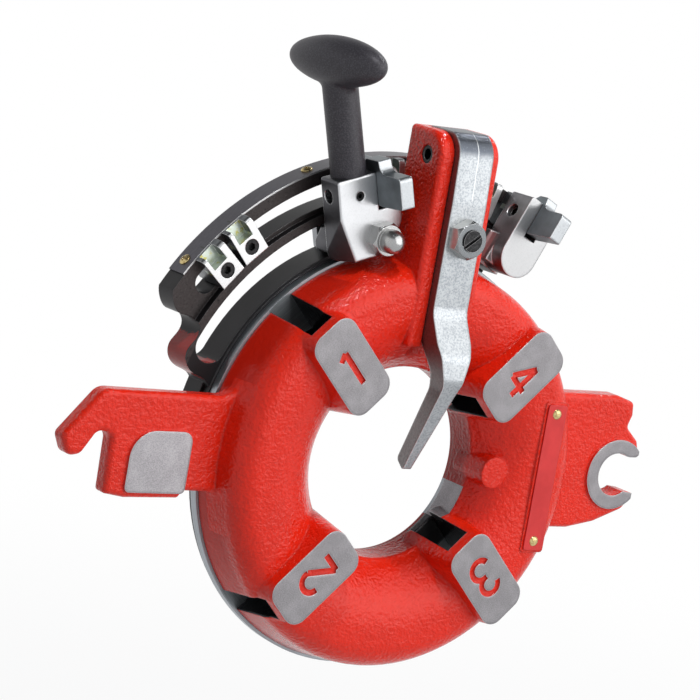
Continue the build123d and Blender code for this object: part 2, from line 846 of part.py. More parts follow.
def lever_block():
    outline = rounded_outline(
        [(block_left + 0.7, block_top), (block_right, block_top), (block_right, block_foot + 16.1),
         (7, block_foot + 0.3), (block_left, block_foot)],
        [1.5, 1.5, 9, 7, 4])
    block = from_front(outline, left_front, block_back)
    block -= lower_left_slope()
    front_edge = block.edges().filter_by_position(Axis.Y, left_front - 0.01, left_front + 0.01)
    block = fillet(front_edge, block_edge)
    block += tenon(left_tenon_left, left_tenon_right, block_back - 0.5)
    slot_half = catch_thick / 2 + catch_slot_gap
    slot = Pos(left_catch_x, left_catch_floor + 20) * Rectangle(2 * slot_half, 40)
    block -= from_front(slot, left_front - 1, tenon_back + 1)
    # Top front corner of the right cheek is rounded off
    cheek_low = block_top - cheek_blank
    cheek = from_side(
        rounded_outline([(left_front, cheek_low), (left_front, block_top),
                         (block_back, block_top), (block_back, cheek_low)], [0, 7, 2, 0]),
        left_catch_x + slot_half - 0.01, block_right + 1)
    blank = from_side(
        Pos((left_front + block_back) / 2, block_top - cheek_blank / 2 + 1) * Rectangle(
            block_back - left_front + 4, cheek_blank), left_catch_x + slot_half, block_right + 1)
    block -= blank - cheek
    block -= from_side(Pos(left_catch_pin_y, left_catch_pin_r) * Circle(catch_pin_r), -30, 30)
    block -= rod(stud_r, stud_x, stud_pos_r, left_front - 1, tenon_back + 1)
    block -= handle_spigot(spigot_r)
    block -= rod(grub_r, grub_x, grub_pos_r, left_front - 1, left_catch_pin_y)
    return to_angle(block, left_angle)


def lower_left_slope():
    # Slanting face that takes off the lower left corner at the front and runs out at the back
    top = Vector(block_left + 0.3, left_front, block_foot + 26.7)
    low = Vector(block_left + 5.7, left_front, block_foot + 7.3)
    back = Vector(block_left - 0.5, block_back, block_foot + 7.1)
    outward = (back - top).cross(low - top)
    plane = Plane(origin=top, z_dir=outward)
    return plane * Box(160, 160, 40, align=(Align.CENTER, Align.CENTER, Align.MIN))


def handle_spigot(radius):
    base = Plane.XY.offset(block_top - spigot_length)
    return Pos(handle_x, handle_y, 0) * extrude(base * Circle(radius), amount=spigot_length + 1)


def grip_body():
    # Egg shaped bar along Y with a small flat at each end, slimmer towards the back
    half = grip_length / 2
    shares = [(0.985, 0.16), (0.94, 0.32), (0.82, 0.55), (0.6, 0.775), (0.3, 0.945), (0.0, 1.0),
              (-0.3, 0.955), (-0.6, 0.8), (-0.82, 0.575), (-0.94, 0.345), (-0.985, 0.18)]
    points = [(grip_radius * wide, half * along) for along, wide in shares]
    ends = [(grip_flat, half), (grip_flat, -half)]
    curve = Spline(ends[0], *points, ends[1])
    edges = [curve, Line((grip_flat, -half), (0, -half)), Line((0, -half), (0, half)),
             Line((0, half), (grip_flat, half))]
    return revolve(make_face(Wire(edges)), Axis.Y)


def handle():
    stem = extrude(Plane.XY.offset(block_top) * Circle(stem_r), amount=grip_r - block_top)
    grip = Pos(0, 0, grip_r) * Rot(0, 0, grip_turn) * grip_body()
    body = stem + grip
    neck = body.edges().filter_by_position(Axis.Z, grip_r - 1.5 * grip_radius, grip_r - 1)
    body = Pos(handle_x, handle_y, 0) * fillet(neck, neck_round)
    body += handle_spigot(spigot_r)
    return to_angle(body, left_angle)


def grub_screw():
    front = left_front + grub_sink
    back = left_catch_pin_y - catch_pin_r
    screw = rod(grub_r, grub_x, grub_pos_r, front, back)
    screw -= from_front(Pos(grub_x, grub_pos_r) * hexagon(grub_socket_flats), front - 1,
                        front + grub_socket_depth)
    return to_angle(screw, left_angle)


def left_catch_pin():
    pin = roll_pin(left_catch_pin_y, left_catch_pin_r, left_catch_pin_left, left_catch_pin_right)
    return to_angle(pin, left_angle)


def roll_pin(y, radius, left, right):
    outline = Pos(y, radius) * (Circle(catch_pin_r) - Circle(catch_pin_bore_r))
    return from_side(outline, left, right)


def clamp_stud():
    back = ring_back + clamp_gap + clamp_thick + 1
    return to_angle(rod(stud_r, stud_x, stud_pos_r, left_front - stud_nut_depth, back), left_angle)


def acorn_nut():
    neck = left_front - acorn_hex
    tip = left_front - acorn_length
    nut = hex_nut(acorn_flats, acorn_hex, stud_r)
    dome_y = -acorn_length + acorn_dome_r
    edges = [
        Line((0, -acorn_hex + 0.5), (acorn_dome_r, -acorn_hex + 0.5)),
        Line((acorn_dome_r, -acorn_hex + 0.5), (acorn_dome_r, dome_y)),
        ThreePointArc((acorn_dome_r, dome_y),
                      (acorn_dome_r * cos(radians(45)), dome_y - acorn_dome_r * sin(radians(45))),
                      (0, -acorn_length)),
        Line((0, -acorn_length), (0, -acorn_hex + 0.5)),
    ]
    nut += revolve(make_face(Wire(edges)), Axis.Y)
    nut -= rod(stud_r, 0, 0, -stud_nut_depth, 1)
    return to_angle(Pos(stud_x, left_front, stud_pos_r) * nut, left_angle)


def clamp_plate(half, x, radius, hole_r, angle):
    front = ring_back + clamp_gap
    middle = (clamp_inner + clamp_outer) / 2
    outline = Pos(x, middle) * RectangleRounded(2 * half, clamp_outer - clamp_inner,
                                                clamp_round)
    outline -= Pos(x, radius) * Circle(hole_r)
    return to_angle(from_front(outline, front, front + clamp_thick), angle)


def catch(pin_y, pin_r, tab_y, tab_drop, tab_rise, horn_length, nose_low, nose_thick, nose_back):
    # Flat thumb catch seen from the side: tab at the front, horn, and nose over the set block
    low = pin_r - tab_drop
    high = pin_r + tab_rise
    horn = high + catch_horn
    horn_y = tab_y + catch_tab
    nose_high = nose_low + nose_thick
    outline = rounded_outline(
        [(tab_y, low), (tab_y, high), (horn_y - 1.4, high - 0.4), (horn_y, horn),
         (horn_y + horn_length, horn - 0.3), (horn_y + horn_length + 4, nose_high),
         (nose_back, nose_high), (nose_back, nose_low), (42.9, nose_low), (42.5, pin_r + 1),
         (38.5, pin_r - 6.2), (horn_y + 5, low - 0.6), (horn_y, low - 1.4)],
        [0.8, 2.2, 5, 0.8, 1.5, 1, 1, 0.6, 0.6, 3, 3, 3, 0])
    plate = from_side(outline, -catch_thick / 2, catch_thick / 2)
    return plate - from_side(Pos(pin_y, pin_r) * Circle(catch_pin_r + running_gap), -9, 9)


def left_catch():
    body = catch(left_catch_pin_y, left_catch_pin_r, 2.0, 7.6, 9.7, 11.5, set_block_outer + 0.5,
                 3.6, 48.2)
    return to_angle(Pos(left_catch_x, 0, 0) * body, left_angle)


def right_catch():
    body = catch(right_catch_pin_y, right_catch_pin_r, 2.2, 6.5, 8.8, 7.0, set_block_outer - 1.9,
                 2.4, 48.6)
    return to_angle(body, right_angle)


def right_block():
    foot = right_bottom + right_half
    outline = rounded_outline(
        [(-right_half, foot), (-right_half, block_top), (right_half, block_top),
         (right_half, foot)],
        [0, 1.5, 1.5, 0])
    outline += Pos(0, foot) * Circle(right_half)
    plate = from_front(outline, right_front, right_back)
    plate += right_foot()
    plate += tenon(-right_tenon_left, right_tenon_right, right_back - 0.5)
    slot_half = catch_thick / 2 + catch_slot_gap
    slot = Pos(0, right_catch_floor + 20) * Rectangle(2 * slot_half, 40)
    plate -= from_front(slot, 0, 60)
    plate -= from_side(Pos(right_catch_pin_y, right_catch_pin_r) * Circle(catch_pin_r), -30, 30)
    plate -= rod(right_screw_r, 0, right_stud_r, right_back - right_screw_depth, tenon_back + 1)
    return to_angle(plate, right_angle)


def right_foot():
    # Wider foot at the back of the left side, with a hollow run-out into the side face
    half = right_half
    outline = make_face(Polyline(
        (0, right_apron_start), (-half, right_apron_start), (-half - 0.6, right_apron_start + 2),
        (-half - 1.8, right_apron_start + 4), (-right_apron, right_apron_front),
        (-right_apron, right_back), (0, right_back), close=True))
    low = right_bottom + right_apron_low
    base = Plane.XY.offset(low)
    return extrude(base * outline, amount=right_apron_top - low)


def right_catch_pin():
    pin = roll_pin(right_catch_pin_y, right_catch_pin_r, right_catch_pin_left,
                   right_catch_pin_right)
    return to_angle(pin, right_angle)


def right_clamp_screw():
    seat = ring_back + clamp_gap + clamp_thick
    shank = rod(right_screw_r, 0, right_stud_r, right_back - right_screw_depth, seat)
    head = from_front(Pos(0, right_stud_r) * hexagon(right_screw_flats), seat,
                      seat + right_screw_head)
    return to_angle(shank + head, right_angle)


def back_flange():
    front = hub_end()
    back = front + flange_thick
    inner = bore_r + flange_bore_step
    ring = turned([(inner, front), (flange_r - flange_chamfer, front),
                   (flange_r, front + flange_chamfer), (flange_r, back - 1), (flange_r - 1, back),
                   (inner + 2, back), (inner, back - 2)])
    for number in range(flange_screws):
        x, z = polar(flange_screw_pcd_r, number * 360 / flange_screws + 30)
        ring -= rod(flange_screw_r, x, z, front - 1, back + 1)
        ring -= rod(flange_screw_head_r + sink_side_gap, x, z, back - flange_sink, back + 1)
    return ring


def flange_screw_set():
    screws = []
    for number in range(flange_screws):
        x, z = polar(flange_screw_pcd_r, number * 360 / flange_screws + 30)
        seat = hub_end() + flange_thick - flange_sink
        screw = cap_screw(flange_screw_head_r, flange_screw_head, flange_screw_r,
                          flange_screw_length, flange_screw_socket)
        screws.append(Pos(x, seat, z) * screw)
    return screws


def flange_screw_holes():
    holes = Part()
    for number in range(flange_screws):
        x, z = polar(flange_screw_pcd_r, number * 360 / flange_screws + 30)
        seat = hub_end() + flange_thick - flange_sink
        holes += rod(flange_screw_r, x, z, seat - flange_screw_length, seat)
    return holes


def save(shape, name):
    if isinstance(shape, list):
        shape = Compound(children=[solid for piece in shape for solid in piece.solids()])
    export_step(shape, f"parts/{name}.step")


os.makedirs("parts", exist_ok=True)
save(head_casting(), "head_casting")
save(name_plate(), "name_plate")
save(plate_rivets(), "plate_rivets")
save(trigger_pivot_pin(), "trigger_pivot_pin")
save(back_flange(), "back_flange")
save(flange_screw_set(), "flange_screws")
save(trigger_lever(), "trigger_lever")
save(latch_pin(), "latch_pin")
save(latch_nut(), "latch_nut")
save(cam_plate(), "cam_plate")
save(cam_screws(), "cam_screws")
save(size_ring(), "size_ring")
save(size_bar(), "size_bar")
save(size_bar_screws(), "size_bar_screws")
for number, angle in enumerate(set_block_angles(), start=1):
    save(to_angle(set_block(), angle), f"set_block_{number}")
save(set_block_screws(), "set_block_screws")
save(set_block_nuts(), "set_block_nuts")
save(lever_block(), "lever_block")
save(handle(), "handle")
save(grub_screw(), "grub_screw")
save(left_catch_pin(), "left_catch_pin")
save(clamp_stud(), "clamp_stud")
save(acorn_nut(), "acorn_nut")
save(clamp_plate(left_clamp_half, stud_x, stud_pos_r, stud_r, left_angle), "left_clamp_plate")
save(left_catch(), "left_catch")
save(right_block(), "right_block")
save(right_catch_pin(), "right_catch_pin")
save(right_catch(), "right_catch")
save(clamp_plate(right_clamp_half, 0, right_stud_r, right_screw_r, right_angle), "right_clamp_plate")
save(right_clamp_screw(), "right_clamp_screw")
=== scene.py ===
import math
import bmesh
import bpy
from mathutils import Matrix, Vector


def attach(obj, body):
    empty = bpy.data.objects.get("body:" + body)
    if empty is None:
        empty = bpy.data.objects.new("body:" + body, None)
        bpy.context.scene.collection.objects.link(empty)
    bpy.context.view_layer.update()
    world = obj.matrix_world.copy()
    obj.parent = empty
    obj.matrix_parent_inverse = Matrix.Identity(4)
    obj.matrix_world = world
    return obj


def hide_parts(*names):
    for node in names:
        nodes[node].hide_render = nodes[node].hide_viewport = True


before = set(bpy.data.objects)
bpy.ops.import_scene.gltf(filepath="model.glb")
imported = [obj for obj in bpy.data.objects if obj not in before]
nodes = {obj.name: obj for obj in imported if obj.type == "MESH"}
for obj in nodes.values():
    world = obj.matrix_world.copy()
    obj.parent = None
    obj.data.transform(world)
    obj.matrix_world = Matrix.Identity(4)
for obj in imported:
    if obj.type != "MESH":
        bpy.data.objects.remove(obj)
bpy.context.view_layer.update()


def addObject(name, data):
    thing = bpy.data.objects.new(name, data)
    bpy.context.scene.collection.objects.link(thing)
    return thing


def shade(colour, factor):
    return tuple(factor * c for c in colour)


# Camera and lamps

cameraView = {
    "place": (-1.0013679, -1.29258758, 0.31421994),
    "turn": (0.73964717, 0.59919727, -0.25412279, -0.17119088),
    "lens": 157.3265,
    "sensor": 36,
}

studio = {
    "lampAim": (0, 0.02, 0.04),
    # place, size, watts, colour
    "lamps": {
        "keySoftbox": ((0.85, -1.45, 0.95), 2.40, 38.0, (1.0, 0.99, 0.97)),
        "topSoftbox": ((-0.25, -0.35, 1.30), 0.12, 6.5, (0.97, 0.98, 1.0)),
        "rimSpark": ((0.90, 0.35, 1.15), 0.10, 3.0, (0.97, 0.98, 1.0)),
    },
}


def addCamera():
    data = bpy.data.cameras.new("photoCamera")
    data.lens = cameraView["lens"]
    data.sensor_width = cameraView["sensor"]
    camera = addObject("photoCamera", data)
    camera.rotation_mode = "QUATERNION"
    camera.location = cameraView["place"]
    camera.rotation_quaternion = cameraView["turn"]
    bpy.context.scene.camera = camera


def addLamps():
    for name, (place, size, watts, colour) in studio["lamps"].items():
        data = bpy.data.lights.new(name, "AREA")
        data.shape = "SQUARE"
        data.size = size
        data.energy = watts
        data.color = colour
        lamp = addObject(name, data)
        lamp.location = place
        aim = Vector(studio["lampAim"]) - Vector(place)
        lamp.rotation_mode = "QUATERNION"
        lamp.rotation_quaternion = aim.to_track_quat("-Z", "Y")


# Node helpers, shared by the materials, the backdrop and the repeated pieces

class Wire:
    # One socket that can be added, multiplied and compared like a number

    def __init__(self, tree, socket):
        self.tree = tree
        self.socket = socket

    def maths(self, operation, other=None, swap=False):
        node = self.tree.nodes.new("ShaderNodeMath")
        node.operation = operation
        parts = [other, self] if swap else [self, other]
        for place, part in enumerate(parts):
            if isinstance(part, Wire):
                self.tree.links.new(part.socket, node.inputs[place])
            elif part is not None:
                node.inputs[place].default_value = part
        return Wire(self.tree, node.outputs[0])

    def __add__(self, other): return self.maths("ADD", other)
    def __radd__(self, other): return self.maths("ADD", other)
    def __sub__(self, other): return self.maths("SUBTRACT", other)
    def __rsub__(self, other): return self.maths("SUBTRACT", other, swap=True)
    def __mul__(self, other): return self.maths("MULTIPLY", other)
    def __rmul__(self, other): return self.maths("MULTIPLY", other)
    def __truediv__(self, other): return self.maths("DIVIDE", other)
    def __rtruediv__(self, other): return self.maths("DIVIDE", other, swap=True)
    def __lt__(self, other): return self.maths("LESS_THAN", other)
    def __gt__(self, other): return self.maths("GREATER_THAN", other)
    def __pow__(self, other): return self.maths("POWER", other)
    def __abs__(self): return self.maths("ABSOLUTE")

    def sine(self): return self.maths("SINE")
    def root(self): return self.maths("SQRT")
    def arc(self, other): return self.maths("ARCTAN2", other)
    def either(self, other): return self.maths("MAXIMUM", other)
    def between(self, low, high): return (self > low) * (self < high)


class Bench:
    # A node tree under construction

    def __init__(self, tree):
        self.tree = tree

    def add(self, kind, settings=None, values=None):
        node = self.tree.nodes.new(kind)
        for key, value in (settings or {}).items():
            setattr(node, key, value)
        for key, value in (values or {}).items():
            self.feed(node.inputs[key], value)
        return node

    def feed(self, socket, value):
        if isinstance(value, Wire):
            value = value.socket
        if isinstance(value, bpy.types.NodeSocket):
            self.tree.links.new(value, socket)
        elif socket.type == "RGBA" and len(value) == 3:
            socket.default_value = (*value, 1.0)
        else:
            socket.default_value = value

    def wire(self, socket):
        return Wire(self.tree, socket)

    def backgroundRay(self):
        # 1 for what the lens, a mirror or a glass looks at, 0 for light on the object
        path = self.add("ShaderNodeLightPath")
        rays = ("Is Camera Ray", "Is Glossy Ray", "Is Transmission Ray")
        camera, glossy, through = (self.wire(path.outputs[name]) for name in rays)
        return camera.either(glossy).either(through)

    def ramp(self, value, low, high, share=1.0):
        # 0 below low, the share above high
        node = self.add("ShaderNodeMapRange", {"interpolation_type": "SMOOTHSTEP"}, {
            "Value": value, "From Min": low, "From Max": high, "To Min": 0.0, "To Max": share})
        return self.wire(node.outputs[0])


class Finish(Bench):
    # A material under construction

    def __init__(self, name):
        self.material = bpy.data.materials.new(name)
        self.material.use_nodes = True
        super().__init__(self.material.node_tree)
        self.shader = self.tree.nodes["Principled BSDF"]
        place = self.add("ShaderNodeTexCoord")
        self.place = place.outputs["Object"]
        self.facing = place.outputs["Normal"]
        split = self.add("ShaderNodeSeparateXYZ", {}, {"Vector": self.place})
        self.x, self.y, self.z = (self.wire(split.outputs[k]) for k in range(3))

    def set(self, **values):
        for key, value in values.items():
            self.feed(self.shader.inputs[key.replace("_", " ")], value)

    def noise(self, scale, detail=2.0, roughness=0.5, stretch=None, vector=None):
        vector = vector or self.place
        if stretch:
            mapping = self.add("ShaderNodeMapping", {}, {"Vector": vector, "Scale": stretch})
            vector = mapping.outputs[0]
        node = self.add("ShaderNodeTexNoise", {}, {
            "Vector": vector, "Scale": scale, "Detail": detail, "Roughness": roughness})
        return self.wire(node.outputs["Fac"])

    def mix(self, mask, first, second):
        node = self.add("ShaderNodeMix", {"data_type": "RGBA"})
        self.feed(node.inputs["Factor"], mask)
        self.feed(node.inputs[6], first)
        self.feed(node.inputs[7], second)
        return node.outputs[2]

    def mottle(self, noise, tone, first, second):
        # The first colour, and the second where the tone is full
        return self.mix(self.ramp(noise, *tone), first, second)

    def between(self, mask, first, second):
        return mask * second + (1 - mask) * first

    def rough(self, noise, least, added):
        return noise * added + least

    def rounded(self, radius):
        return self.add("ShaderNodeBevel", {"samples": 6}, {"Radius": radius}).outputs[0]

    def relief(self, height, depth, strength, edge=None, base=None):
        # Bump, over edges rounded by a radius or over another normal
        values = {"Height": height, "Distance": depth, "Strength": strength}
        if edge is not None:
            base = self.rounded(edge)
        if base is not None:
            values["Normal"] = base
        return self.add("ShaderNodeBump", {}, values).outputs[0]

    def worn(self, colour, width, share, tint):
        # Another colour along edges, where the rounded normal leans from the true one: real wear on
        # some finishes, and a painted glint on the plated parts, the set blocks and the lever
        soft = self.rounded(width)
        true = self.add("ShaderNodeNewGeometry").outputs["Normal"]
        dot = self.add("ShaderNodeVectorMath", {"operation": "DOT_PRODUCT"}, {0: soft, 1: true})
        lean = 1 - self.wire(dot.outputs["Value"])
        return self.mix(self.ramp(lean, *edgeLean, share), colour, tint)

    def towards(self, direction):
        # How squarely a face looks in a direction of the part's own frame
        dot = self.add("ShaderNodeVectorMath", {"operation": "DOT_PRODUCT"},
                       {0: self.facing, 1: direction})
        return self.wire(dot.outputs["Value"])

    def front(self, low, high):
        # 1 on faces that look to the front of the head
        return self.ramp(self.towards((0, -1, 0)), low, high)

    def radius(self):
        # Distance from the pipe axis
        return (self.x * self.x + self.z * self.z).root()

    def angle(self):
        # Degrees about the pipe axis, from +X towards +Z
        return self.z.arc(self.x) * (180 / math.pi)


# Paint and metals. Lengths are in metres, and in every dictionary below
# a noise is its scale, detail, roughness and stretch, and a larger scale makes a finer grain,
# a tone is where in a noise it starts, where it is full, and its share,
# worn is the width of the coloured edges, their share and their colour, which is real wear on some
# finishes and a painted glint on others,
# roughness is its least value and what the noise adds to it,
# relief is its depth, its strength and the radius that rounds the edges

# How far the rounded normal leans from the true one where the edge colour starts and where it is
# full
edgeLean = (0.02, 0.25)

paint = {
    "red": (0.75, 0.019, 0.005),
    "redDustAndShade": 0.84,
    "redShaded": (0.34, 0.010, 0.006),
    "peel": (560.0,),
    "lumps": (230.0,),
    "dust": (34.0, 4.0, 0.62),
    "dustTone": (0.4, 0.75, 0.6),
    "hollowShadeTone": (0.0, 0.22, 0.4),
    "roughness": (0.10, 0.07),
    "relief": (0.00070, 0.9, 0.0020),
    "lumpRelief": 0.8,
    "gloss": 0.25,
    # How far the red takes painted shade on the turned rim and in the bore, and how far its relief
    # is smoothed on the rim and in the slots
    "rimShade": 0.45,
    "rimSmooth": 0.65,
    "boreShade": 0.8,
    "slotSmooth": 0.7,
}

bareMetal = {
    "dark": (0.185, 0.178, 0.188),
    "light": (0.33, 0.32, 0.335),
    "arms": 1.35,
    "grain": (1300.0, 3.0, 0.7, (1.0, 1.0, 1.7)),
    "cloud": (95.0, 3.0, 0.55),
    "grainTone": (0.36, 0.64, 0.7),
    "cloudTone": (0.35, 0.7, 0.3),
    "worn": (0.0011, 0.8, (0.66, 0.65, 0.66)),
    "metallic": 0.85,
    "roughness": (0.44, 0.14),
    "relief": (0.00003, 0.5),
}

slotOil = {
    "light": (0.030, 0.030, 0.034),
    "dark": (0.010, 0.010, 0.012),
    "tone": (0.3, 0.7),
    "rubbed": (0.12, 0.12, 0.12),
    "rubbedDepths": (0.0066, 0.024),
    "rubbedTone": (0.25, 0.8, 0.5),
    "metallic": 0.7,
}

# Places of the machined faces on the casting, with angles in degrees from +X towards +Z
machined = {
    "padPlane": 0.00015,
    "hookPadDepths": (0.02, 0.02615),
    "hookPadRight": -0.12,
    "pivotFaceBack": 0.02015,
    "pivotFaceLeft": 0.131,
    "backPlane": 0.0409,
    "slotHalf": 0.0077,
    "slotFront": 0.0064,
    "slotRadii": (0.0503, 0.117),
    "slotTop": 0.118,
    "boreWall": 0.0553,
    "boreShadeDepths": (0.026, 0.034),
    "patchAngles": (-37.0, -13.0),
    "patchFront": 0.029,
    "rimRise": (0.1128, 0.1142),
    "rimEnd": 0.1170,
    "rimTop": 0.10,
    "armHalf": 0.042,
    "armBack": 0.0345,
}


def castingFinish():
    # Gloss red over a sand casting, with ground pads, broached die slots and a turned bore
    f = Finish("redCasting")
    radius = f.radius()
    half = machined["slotHalf"]
    rising = (f.x + f.z) * math.sqrt(0.5)
    falling = (f.x - f.z) * math.sqrt(0.5)
    slots = falling.between(-half, half).either(rising.between(-half, half))
    slots = slots * (f.y > machined["slotFront"]) * radius.between(*machined["slotRadii"])
    slots = slots * (f.z < machined["slotTop"])
    pads = f.y < machined["padPlane"]
    hookPad = f.y.between(*machined["hookPadDepths"]) * (f.x < machined["hookPadRight"])
    pivotFace = (f.y < machined["pivotFaceBack"]) * (f.x > machined["pivotFaceLeft"])
    wall = radius < machined["boreWall"]
    back = (f.y > machined["backPlane"]) * (1 - wall)
    patch = wall * f.angle().between(*machined["patchAngles"]) * (f.y > machined["patchFront"])
    bare = pads.either(hookPad).either(pivotFace).either(back).either(patch)

    peel, lumps, dust = (f.noise(*paint[k]) for k in ("peel", "lumps", "dust"))
    # Dust darkens the red at random, and painted shade darkens it in the hollows of the orange peel
    dustAndHollowShade = f.ramp(dust, *paint["dustTone"]) + f.ramp(0.5 - peel, *paint["hollowShadeTone"])
    red = f.mix(dustAndHollowShade, paint["red"], shade(paint["red"], paint["redDustAndShade"]))
    # The turned rim of the ring took the paint smoother than the rough casting; the rim and the
    # back of the bore take painted shade, a darker red
    arms = (abs(f.z) < machined["armHalf"]) * (f.y < machined["armBack"])
    rim = f.ramp(radius, *machined["rimRise"]) * (radius < machined["rimEnd"])
    rim = rim * (f.z < machined["rimTop"]) * (1 - arms)
    behind = wall * f.ramp(f.y, *machined["boreShadeDepths"])
    paintedShade = (rim * paint["rimShade"]).either(behind * paint["boreShade"])
    red = f.mix(paintedShade, red, paint["redShaded"])

    grain, cloud = f.noise(*bareMetal["grain"]), f.noise(*bareMetal["cloud"])
    tone = f.ramp(grain, *bareMetal["grainTone"]) + f.ramp(cloud, *bareMetal["cloudTone"])
    steel = f.mix(tone, bareMetal["dark"], bareMetal["light"])
    ground = f.mix(tone, *(shade(bareMetal[k], bareMetal["arms"]) for k in ("dark", "light")))
    steel = f.worn(f.mix(hookPad, steel, ground), *bareMetal["worn"])
    oily = f.mottle(cloud, slotOil["tone"], slotOil["light"], slotOil["dark"])
    rubbed = f.ramp(f.y, *slotOil["rubbedDepths"]) * f.ramp(cloud, *slotOil["rubbedTone"])
    oily = f.mix(rubbed, oily, slotOil["rubbed"])

    relief = (peel + lumps * paint["lumpRelief"]) * (1 - bare)
    relief = relief * (1 - slots * paint["slotSmooth"]) * (1 - rim * paint["rimSmooth"])
    normal = f.relief(relief, *paint["relief"])
    f.set(Base_Color=f.mix(slots, f.mix(bare, red, steel), oily),
          Metallic=(bare * bareMetal["metallic"]).either(slots * slotOil["metallic"]),
          Roughness=f.between(bare, f.rough(lumps, *paint["roughness"]),
                              f.rough(grain, *bareMetal["roughness"])),
          Specular_IOR_Level=paint["gloss"],
          Normal=f.relief(grain * bare, *bareMetal["relief"], base=normal))
    return f.material


namePlate = {
    "x": 0.0915,
    "halfWidth": 0.0052,
    "halfLength": 0.0407,
    "light": (0.60, 0.030, 0.030),
    "dark": (0.50, 0.020, 0.020),
    "cloud": (60.0, 3.0, 0.6),
    "cloudTone": (0.3, 0.75),
    "grain": (1700.0, 2.0, 0.5, (1.0, 1.0, 0.12)),
    "grainRelief": 0.2,
    "metallic": 0.35,
    "roughness": (0.30, 0.12),
    "relief": (0.00010, 0.5, 0.0004),
}


def plateFinish():
    # Bare anodised strip with a fine raised border
    look = namePlate
    f = Finish("redPlate")
    cloud, grain = f.noise(*look["cloud"]), f.noise(*look["grain"])
    border = abs(f.x - look["x"]) > look["halfWidth"]
    border = border.either(abs(f.z) > look["halfLength"])
    f.set(Base_Color=f.mottle(cloud, look["cloudTone"], look["light"], look["dark"]),
          Metallic=look["metallic"], Roughness=f.rough(grain, *look["roughness"]),
          Normal=f.relief(grain * look["grainRelief"] + border, *look["relief"]))
    return f.material


# The side tones are painted shade on most plated parts, and on the acorn nut, the clamp stud and
# the latch nut a painted reflection, brighter than a darker front
platedLooks = {
    "zincBlock": {"front": (0.53, 0.54, 0.56), "side": (0.115, 0.115, 0.125),
                  "roughness": 0.27, "specks": 0.40, "edge": 0.0013},
    "zincRightBlock": {"front": (0.44, 0.445, 0.455), "side": (0.26, 0.26, 0.27),
                       "roughness": 0.28, "specks": 0.45, "edge": 0.0013},
    "zincCatch": {"front": (0.39, 0.41, 0.43), "side": (0.19, 0.215, 0.23),
                  "roughness": 0.25, "specks": 0.80, "edge": 0.0009},
    "zincClamp": {"front": (0.46, 0.47, 0.49), "side": (0.34, 0.35, 0.37),
                  "roughness": 0.30, "specks": 0.50, "edge": 0.0008},
    "zincBright": {"front": (0.38, 0.385, 0.39), "side": (0.46, 0.46, 0.45),
                   "roughness": 0.17, "specks": 0.15, "edge": 0.0005},
    "zincNut": {"front": (0.16, 0.17, 0.18), "side": (0.66, 0.66, 0.64),
                "roughness": 0.22, "specks": 0.35, "edge": 0.0006},
}

plating = {
    "facing": (0.35, 0.75),
    "cloud": (85.0, 4.0, 0.6),
    "specks": (1150.0, 2.0, 0.65),
    "brushed": (520.0, 3.0, 0.6, (1.0, 1.0, 0.2)),
    "speckTone": (0.46, 0.74),
    "cloudTone": (0.4, 0.75, 0.25),
    "sideTone": (0.3, 0.7),
    "frontDark": 0.78,
    "sideDark": 0.72,
    "wornShare": 0.65,
    "wornColour": (0.82, 0.83, 0.84),
    "metallic": 0.92,
    "sideRough": 0.08,
    "speckRough": 0.08,
    "cloudRelief": 0.4,
    "brushRelief": 0.3,
    "relief": (0.000035, 0.5),
}


def platedFinish(name):
    # Plated steel, ground at the front and rougher on its other faces, with its front and side
    # tones lit and shaded copies of one plating
    look = platedLooks[name]
    f = Finish(name)
    cloud, specks, brushed = (f.noise(*plating[k]) for k in ("cloud", "specks", "brushed"))
    face = f.front(*plating["facing"])
    spots = f.ramp(specks, *plating["speckTone"], look["specks"])
    spots = spots + f.ramp(cloud, *plating["cloudTone"])
    front = f.mix(spots, look["front"], shade(look["front"], plating["frontDark"]))
    sideDark = shade(look["side"], plating["sideDark"])
    side = f.mottle(cloud, plating["sideTone"], look["side"], sideDark)
    # Painted glint along the rounded edges
    worn = f.worn(f.mix(face, side, front), look["edge"], plating["wornShare"],
                  plating["wornColour"])
    rough = f.between(face, look["roughness"] + plating["sideRough"], look["roughness"])
    height = specks + cloud * plating["cloudRelief"] + brushed * plating["brushRelief"]
    f.set(Base_Color=worn, Metallic=plating["metallic"],
          Roughness=rough + specks * plating["speckRough"],
          Normal=f.relief(height, *plating["relief"], look["edge"]))
    return f.material


setBlockLook = {
    "front": (0.64, 0.65, 0.66),
    "frontSpecks": (0.47, 0.48, 0.49),
    "side": (0.16, 0.17, 0.18),
    "sideClouds": (0.10, 0.105, 0.11),
    "notch": (0.52, 0.58, 0.52),
    "notchYellowReflection": (0.46, 0.43, 0.12),
    "notchBack": 0.0504,
    "notchRadius": 0.156,
    "ledgeRadii": (0.1562, 0.1592),
    "ledgeBack": 0.0508,
    "facing": (0.3, 0.7),
    "specks": (1300.0, 2.0, 0.6),
    "cloud": (240.0, 3.0, 0.6),
    "speckTone": (0.42, 0.72, 0.5),
    "sideTone": (0.35, 0.7),
    "notchYellowTone": (0.52, 0.66),
    "worn": (0.0006, 0.6, (0.80, 0.81, 0.82)),
    "metallic": 0.9,
    "roughness": (0.26, 0.10),
    "cloudRough": 0.06,
    "relief": (0.00003, 0.45, 0.0005),
}


